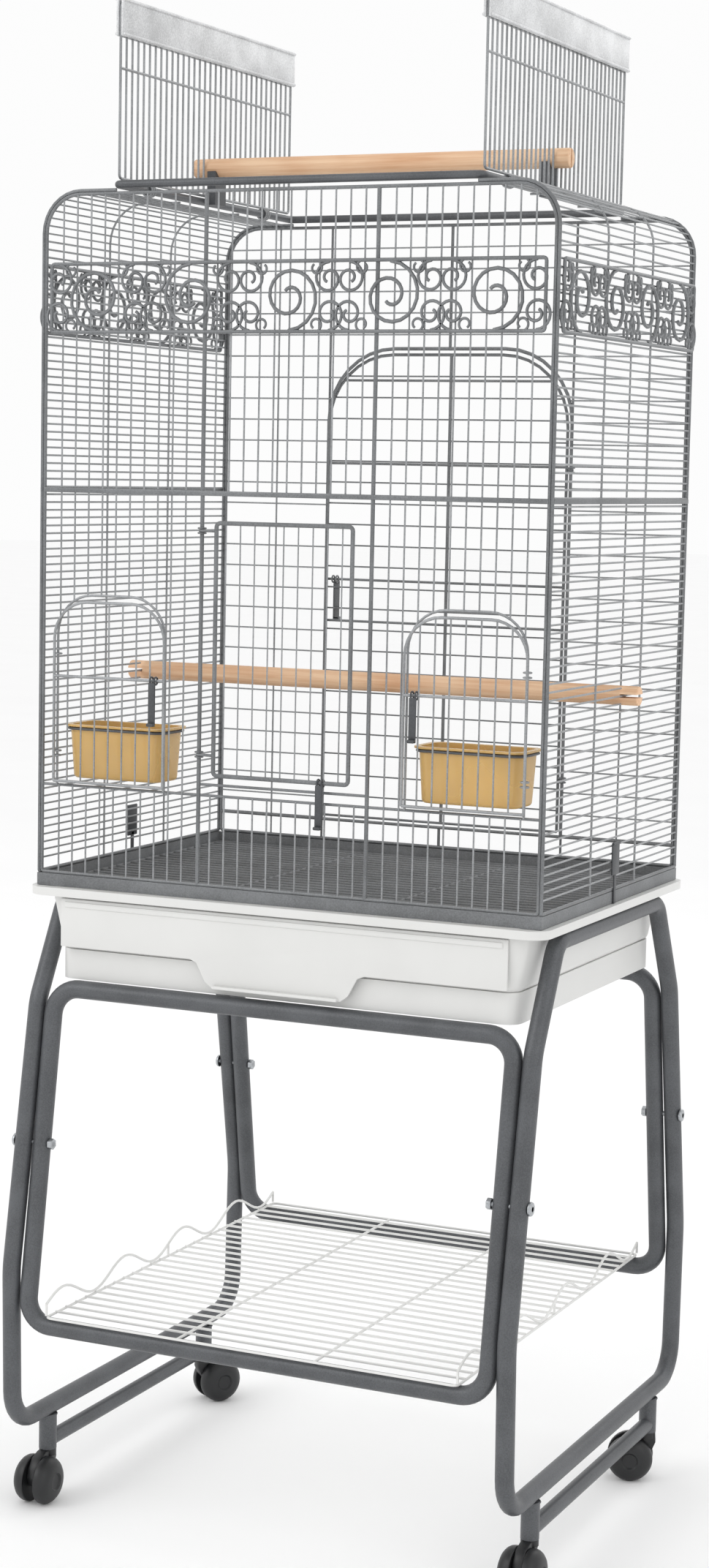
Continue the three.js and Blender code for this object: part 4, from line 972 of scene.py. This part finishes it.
    def cross_wire(self, wires, x, z, r):
        """One cross wire of a side wall; those beside the perch's own wire stop short of the perch."""
        away = abs(z - LINE_Z)
        if r < away < PERCH_R + r:
            straight(wires, (x, -WALL_Y, z), (x, INNER_PERCH.y - PERCH_R - 1, z), r, 6)
            straight(wires, (x, INNER_PERCH.y + PERCH_R + 1, z), (x, WALL_Y, z), r, 6)
        else:
            straight(wires, (x, -WALL_Y, z), (x, WALL_Y, z), r, 6)


# ---- scroll bands -----------------------------------------------------------------------------------------
class CAGE_OT_scrolls(bpy.types.Operator):
    """Curl and weld the scroll bands along the head of the front and side walls"""
    bl_idname = "cage.scrolls"
    bl_label = "Scroll Bands"

    def execute(self, context):
        z0, z1 = BAND_LO.z + 1.5, BAND_HI.z - 1.5
        y = (BAND_LO.y + BAND_HI.y) / 2
        bm = bmesh.new()
        self.band(bm, BAND_HI.x, 5, z0, z1)
        bmesh.ops.translate(bm, vec=(0, y, 0), verts=bm.verts)
        keep(bm, "front_scroll_work", ROOT, "bar_coat", "front_scroll_band")
        for side, s in SIDES:
            lo, hi = span(f"{side}_scroll_band")
            bm = bmesh.new()
            self.band(bm, hi.y, 4, z0, z1)
            place = Matrix.Translation(((lo.x + hi.x) / 2, 0, 0)) @ Matrix.Rotation(math.radians(90), 4, "Z")
            bmesh.ops.transform(bm, matrix=place, verts=bm.verts)
            keep(bm, f"{side}_scroll_work", ROOT, "bar_coat", f"{side}_scroll_band")
        return {"FINISHED"}

    def curl(self, bm, x, z, reach, hand, upside, turns, close, wire):
        """One wire that leaves a bar of the band and curls inwards."""
        path = []
        steps = 30
        for i in range(steps + 1):
            t = i / steps
            a = math.pi / 2 + hand * t * turns * 2 * math.pi
            r = reach * (1 - close * t)
            path.append((x + r * math.cos(a), 0, z + upside * r * math.sin(a)))
        rod(bm, path, wire, 6)

    def band(self, bm, half, count, z0, z1):
        wire = sizes()["scroll_wire"] / 2
        mid, reach = (z0 + z1) / 2, (z1 - z0) / 2
        edge = [(-half + wire, 0, z0), (half - wire, 0, z0), (half - wire, 0, z1), (-half + wire, 0, z1)]
        rod(bm, bends(edge, 3, 3, closed=True), wire, 8, closed=True)
        step = 2 * half / count
        for i in range(count):
            x = -half + step * (i + 0.5)
            hand = 1 if x < 0 else -1
            up = 1 if i % 2 else -1
            self.curl(bm, x, mid, reach - wire / 2, hand, up, 1.6, 0.8, wire)
            for sx in (-1, 1):
                for sz in (-1, 1):
                    across = x + sx * step * 0.4
                    self.curl(bm, across, mid + sz * reach * 0.5, reach * 0.47, sx * sz, sz, 1.4, 0.75, wire * 0.85)
                    near = x + sx * reach * 0.86
                    self.curl(bm, near, mid + sz * reach * 0.8, reach * 0.2, -sx, sz, 0.9, 0.4, wire * 0.7)


# ---- roof -------------------------------------------------------------------------------------------------
class CAGE_OT_roof(bpy.types.Operator):
    """Make the rods round the roof opening and finish the perch brackets"""
    bl_idname = "cage.roof"
    bl_label = "Roof Opening"

    def execute(self, context):
        _, hi = span("roof_opening_frame")
        y = hi.y - 4
        corners = [
            (-HINGE_X, -y, HINGE_Z), (HINGE_X, -y, HINGE_Z), (HINGE_X, y, HINGE_Z), (-HINGE_X, y, HINGE_Z),
        ]
        bm = bmesh.new()
        rod(bm, bends(corners, 7, 5, closed=True), 4, 14, closed=True)
        keep(bm, "roof_opening_rods", ROOT, "pewter_coat", "roof_opening_frame")
        for side, _ in SIDES:
            coat_node(f"{side}_perch_bracket", "dark_fitting")
        return {"FINISHED"}


class CAGE_OT_flaps(bpy.types.Operator):
    """Weld the two roof flaps and fold the metal lips over their free edges"""
    bl_idname = "cage.flaps"
    bl_label = "Roof Flaps"

    def execute(self, context):
        for side, s in SIDES:
            x = s * HINGE_X
            bm = bmesh.new()
            self.flap(bm, f"{side}_roof_flap", x)
            keep(bm, f"{side}_flap_wires", f"{side}_flap", "wire_coat", f"{side}_roof_flap")
            bm = bmesh.new()
            self.lip(bm, f"{side}_flap_lip", x)
            keep(bm, f"{side}_folded_lip", f"{side}_flap", "lip_coat", f"{side}_flap_lip")
        return {"FINISHED"}

    def flap(self, bm, node, x):
        s = sizes()
        lo, hi = span(node)
        r, edge = s["wire"] / 2, s["edge_wire"] / 2
        half_y = hi.y - 1.25
        foot, head = HINGE_Z + 6.6, hi.z - 1.5
        corners = [(x, -half_y, foot), (x, half_y, foot), (x, half_y, head), (x, -half_y, head)]
        rod(bm, bends(corners, 4, 4, closed=True), edge * 0.8, 8, closed=True)
        straight(bm, (x, -half_y, HINGE_Z + 115), (x, half_y, HINGE_Z + 115), edge * 0.8)
        for y in lines(half_y, s["flap_pitch"]):
            straight(bm, (x, y, foot), (x, y, head), r * 1.3, 6)
        for y in (62 - half_y, half_y - 62):
            for shift in (-4, 0, 4):
                eye(bm, (x, y + shift, HINGE_Z), (0, 1, 0), 5.7, 1.05)

    def lip(self, bm, node, x):
        lo, hi = span(node)
        half, z0, z1 = (hi.x - lo.x) / 2, lo.z, hi.z
        slot = 1.55
        outline = [
            (x - half, lo.y, z0), (x - slot, lo.y, z0), (x - slot, lo.y, z1 - 3), (x + slot, lo.y, z1 - 3),
            (x + slot, lo.y, z0), (x + half, lo.y, z0), (x + half, lo.y, z1), (x - half, lo.y, z1),
        ]
        plate(bm, outline, (0, hi.y - lo.y, 0), 1.0)
        for sx in (-1, 1):
            for z in (z0 + 2.2, z1 - 2.2):
                straight(bm, (x + sx * half, lo.y + 1, z), (x + sx * half, hi.y - 1, z), 1.6, 10)


# ---- perches ----------------------------------------------------------------------------------------------
class CAGE_OT_perches(bpy.types.Operator):
    """Turn the two wooden perches and saw the kerfs in their ends"""
    bl_idname = "cage.perches"
    bl_label = "Perches"

    def execute(self, context):
        bm = bmesh.new()
        self.dowel(bm, "top_perch", HINGE_X - 1.55, (0, 1, 0))
        keep(bm, "top_dowel", "top_perch", "perch_wood", "top_perch")
        bm = bmesh.new()
        self.dowel(bm, "inner_perch", WALL_X - 1.8, (0, 0, 1))
        keep(bm, "inner_dowel", ROOT, "perch_wood", "inner_perch")
        return {"FINISHED"}

    def dowel(self, bm, node, root, across):
        lo, hi = span(node)
        centre = (lo + hi) / 2
        radius = PERCH_R
        straight(bm, (-root, centre.y, centre.z), (root, centre.y, centre.z), radius, 40)
        for sx in (-1, 1):
            for sign in (-1, 1):
                prong = bmesh.new()
                straight(
                    prong, (sx * root, centre.y, centre.z), (sx * hi.x, centre.y, centre.z), radius, 40,
                )
                tip = [e for e in prong.edges if all(abs(v.co.x - sx * hi.x) < 0.01 for v in e.verts)]
                soften(prong, tip, 1.2, 3)
                out = Vector(across) * sign
                cut = bmesh.ops.bisect_plane(
                    prong, geom=prong.verts[:] + prong.edges[:] + prong.faces[:],
                    plane_co=centre + out * 1.8, plane_no=out, clear_inner=True,
                )
                loop = [g for g in cut["geom_cut"] if isinstance(g, bmesh.types.BMEdge)]
                bmesh.ops.edgeloop_fill(prong, edges=loop)
                bmesh.ops.recalc_face_normals(prong, faces=prong.faces)
                pour(prong, bm)


# ---- doors ------------------------------------------------------------------------------------------------
def latch(bm, node, y, out):
    """A lever hanging from a door wire by its eye; out is the way its thumb rest points."""
    lo, hi = span(node)
    x = (lo.x + hi.x) / 2
    top = hi.z - 4.6
    near, far = sorted((y + out * 3.0, y + out * 4.8))
    # the lever's head stops short of its axis, so that it clears the door's wires when it is lifted
    block(bm, (x - 4, near, top - 46), (x + 4, far, top - 1.8), 0.8)
    near, far = sorted((y + out * 3.0, y + out * 8.8))
    block(bm, (x - 4, near, top - 46), (x + 4, far, top - 42.6), 1.2)
    for shift in (-2.4, 2.4):
        eye(bm, (x + shift, y, top), (1, 0, 0), 3.75, 0.95)


class CAGE_OT_doors(bpy.types.Operator):
    """Weld the front, feeder and rear doors, with their hinge eyes and latches"""
    bl_idname = "cage.doors"
    bl_label = "Doors and Latches"

    def execute(self, context):
        y = -WALL_Y - LEAF_Y
        bm, infill = bmesh.new(), bmesh.new()
        self.front(bm, infill, y)
        keep(bm, "front_door_bars", "front_door", "bar_coat", "front_door")
        keep(infill, "front_door_infill", "front_door", "wire_coat")
        bm = bmesh.new()
        latch(bm, "front_door_latch", y, -1)
        keep(bm, "front_door_lever", "front_latch", "dark_fitting", "front_door_latch")
        for side, s in SIDES:
            bm = bmesh.new()
            self.feeder(bm, s, y)
            keep(bm, f"{side}_feeder_wires", f"{side}_feeder", "wire_coat", f"{side}_feeder_door")
            bm = bmesh.new()
            latch(bm, f"{side}_feeder_latch", y, -1)
            keep(bm, f"{side}_feeder_lever", f"{side}_feeder_latch", "dark_fitting", f"{side}_feeder_latch")
        bm = bmesh.new()
        self.rear(bm, WALL_Y + LEAF_Y)
        keep(bm, "rear_door_wires", "rear_door", "bar_coat", "rear_door")
        bm = bmesh.new()
        latch(bm, "rear_door_latch", WALL_Y + LEAF_Y, 1)
        keep(bm, "rear_door_lever", "rear_latch", "bar_coat", "rear_door_latch")
        return {"FINISHED"}

    def hinge_eyes(self, bm, x, y, heights):
        for z in heights:
            for shift in (-2.4, 2.4):
                eye(bm, (x, y, z + shift), (0, 0, 1), 3.75, 0.95)

    def front(self, bm, infill, y):
        s = sizes()
        lo, hi = span("front_door")
        r, stile = s["wire"] / 2, 2.2
        rail, head, half = lo.z + stile, hi.z - stile, hi.x - stile
        corners = [(-half, y, rail), (half, y, rail), (half, y, head), (-half, y, head)]
        rod(bm, bends(corners, 4, 4, closed=True), stile, 10, closed=True)
        for x in lines(half, s["pitch"]):
            straight(infill, (x, y, rail), (x, y, head), r * 0.8, 6)
        heights = (rail + 20, head - 8)
        for z in heights:
            straight(bm, (-DOOR_X - 1, y + 0.6, z), (-half, y + 0.6, z), 1.4)
        self.hinge_eyes(bm, -DOOR_X, -WALL_Y, heights)

    def feeder(self, bm, side, y):
        s = sizes()
        inner, outer = FEEDER_X[0] - 1.5, FEEDER_X[1] + 1.5
        z0, z1 = SILL_Z + 4.5, FEEDER_TOP - 5.5
        r, edge = s["wire"] / 2, s["edge_wire"] / 2 * 0.85
        rod(bm, arch(side * inner, side * outer, y, z0, z1, FEEDER_R - 2), edge, 8)
        for z in (z0, LATCH_Z):
            straight(bm, (side * inner, y, z), (side * outer, y, z), edge)
        centre, half = (inner + outer) / 2, (outer - inner) / 2
        for offset in lines(half, s["pitch"]):
            top = head_at(offset, half, z1, FEEDER_R - 2)
            x = side * (centre + offset)
            straight(bm, (x, y, z0), (x, y, top), r, 6)
        self.hinge_eyes(bm, side * FEEDER_X[1], -WALL_Y, (SILL_Z + 33, SILL_Z + 138))

    def rear(self, bm, y):
        s = sizes()
        free, hung = -REAR_X - 1.5, REAR_X - REAR_SWING
        centre, half = (free + hung) / 2, (hung - free) / 2
        z0, z1 = REAR_Z[0] + 4.5, REAR_Z[1] - 4.5
        bend = REAR_R - 2
        r, edge = s["wire"] / 2, s["edge_wire"] / 2
        rod(bm, arch(free, hung, y, z0, z1, bend), edge, 8)
        straight(bm, (0, y + 0.8, z0), (0, y + 0.8, z1), 2.0)
        for z in (z0,) + REAR_BARS_Z:
            reach = reach_at(z, half, z1, bend)
            straight(bm, (centre - reach, y, z), (centre + reach, y, z), edge * 0.8)
        count = round((z1 - z0) / s["rear_pitch"])
        for i in range(1, count):
            z = z0 + (z1 - z0) * i / count
            reach = reach_at(z, half, z1, bend)
            straight(bm, (centre - reach, y, z), (centre + reach, y, z), r, 6)
        heights = (REAR_Z[0] + 63, REAR_Z[0] + 403)
        for z in heights:
            straight(bm, (REAR_X + 1, y + 0.6, z), (hung, y + 0.6, z), 1.4)
        self.hinge_eyes(bm, REAR_X, WALL_Y, heights)


# ---- cups -------------------------------------------------------------------------------------------------
class CAGE_OT_cups(bpy.types.Operator):
    """Mould the two feed cups and bend the wire holders they hang in"""
    bl_idname = "cage.cups"
    bl_label = "Feed Cups"

    def execute(self, context):
        for side, s in SIDES:
            lo, hi = span(f"{side}_feed_cup")
            centre = (lo + hi) / 2
            half_x, half_y = (hi.x - lo.x) / 2, (hi.y - lo.y) / 2
            bm = bmesh.new()
            shell(bm, half_x - 4, half_y - 4, 0, hi.z - lo.z - 2, 12)
            foot = [v for v in bm.verts if v.co.z < 1]
            bmesh.ops.scale(bm, vec=(0.94, 0.9, 1), verts=foot)
            soften(bm, [e for e in bm.edges if all(v in foot for v in e.verts)], 4, 4)
            grown = bmesh.ops.extrude_edge_only(bm, edges=[e for e in bm.edges if e.is_boundary])["geom"]
            rim = [g for g in grown if isinstance(g, bmesh.types.BMVert)]
            bmesh.ops.scale(bm, vec=(half_x / (half_x - 4), half_y / (half_y - 4), 1), verts=rim)
            thicken(bm, 2.0)
            bmesh.ops.translate(bm, vec=(centre.x, centre.y, lo.z), verts=bm.verts)
            keep(bm, f"{side}_cup_shell", f"{side}_cup", "amber_plastic", f"{side}_feed_cup")
            z = middle(f"{side}_cup_holder").z
            hx, hy = half_x - 2.3, half_y - 2.3
            corners = [(-hx, -hy, z), (hx, -hy, z), (hx, hy, z), (-hx, hy, z)]
            bm = bmesh.new()
            rod(bm, bends(corners, 13, 6, closed=True), 1.4, 8, closed=True)
            bmesh.ops.translate(bm, vec=(centre.x, centre.y, 0), verts=bm.verts)
            keep(bm, f"{side}_cup_ring", ROOT, "pewter_coat", f"{side}_cup_holder")
        return {"FINISHED"}


# ---- panel ------------------------------------------------------------------------------------------------
PIECES = (
    CAGE_OT_stage, CAGE_OT_stand, CAGE_OT_bolts, CAGE_OT_shelf, CAGE_OT_casters, CAGE_OT_base,
    CAGE_OT_floor_grille, CAGE_OT_walls, CAGE_OT_scrolls, CAGE_OT_roof, CAGE_OT_flaps, CAGE_OT_perches,
    CAGE_OT_doors, CAGE_OT_cups,
)


class CAGE_PT_panel(bpy.types.Panel):
    """Sizes, colours and pieces of the bird cage"""
    bl_idname = "CAGE_PT_panel"
    bl_label = "Bird Cage"
    bl_space_type = "VIEW_3D"
    bl_region_type = "UI"
    bl_category = "Bird Cage"

    def draw(self, context):
        for group in (context.scene.cage_sizes, context.scene.cage_colours):
            box = self.layout.box()
            for key in group.bl_rna.properties.keys():
                if key not in ("rna_type", "name"):
                    box.prop(group, key)
        column = self.layout.column(align=True)
        for piece in PIECES:
            column.operator(piece.bl_idname)


CLASSES = (CageSizes, CageColours) + PIECES + (CAGE_PT_panel,)


def register():
    for cls in CLASSES:
        bpy.utils.register_class(cls)
    bpy.types.Scene.cage_sizes = bpy.props.PointerProperty(type=CageSizes)
    bpy.types.Scene.cage_colours = bpy.props.PointerProperty(type=CageColours)


def unregister():
    del bpy.types.Scene.cage_colours
    del bpy.types.Scene.cage_sizes
    for cls in reversed(CLASSES):
        bpy.utils.unregister_class(cls)


def main():
    register()
    for piece in PIECES:
        group, name = piece.bl_idname.split(".")
        if getattr(getattr(bpy.ops, group), name)() != {"FINISHED"}:
            raise RuntimeError(f"{piece.bl_label} was not finished")


if __name__ == "__main__":
    main()
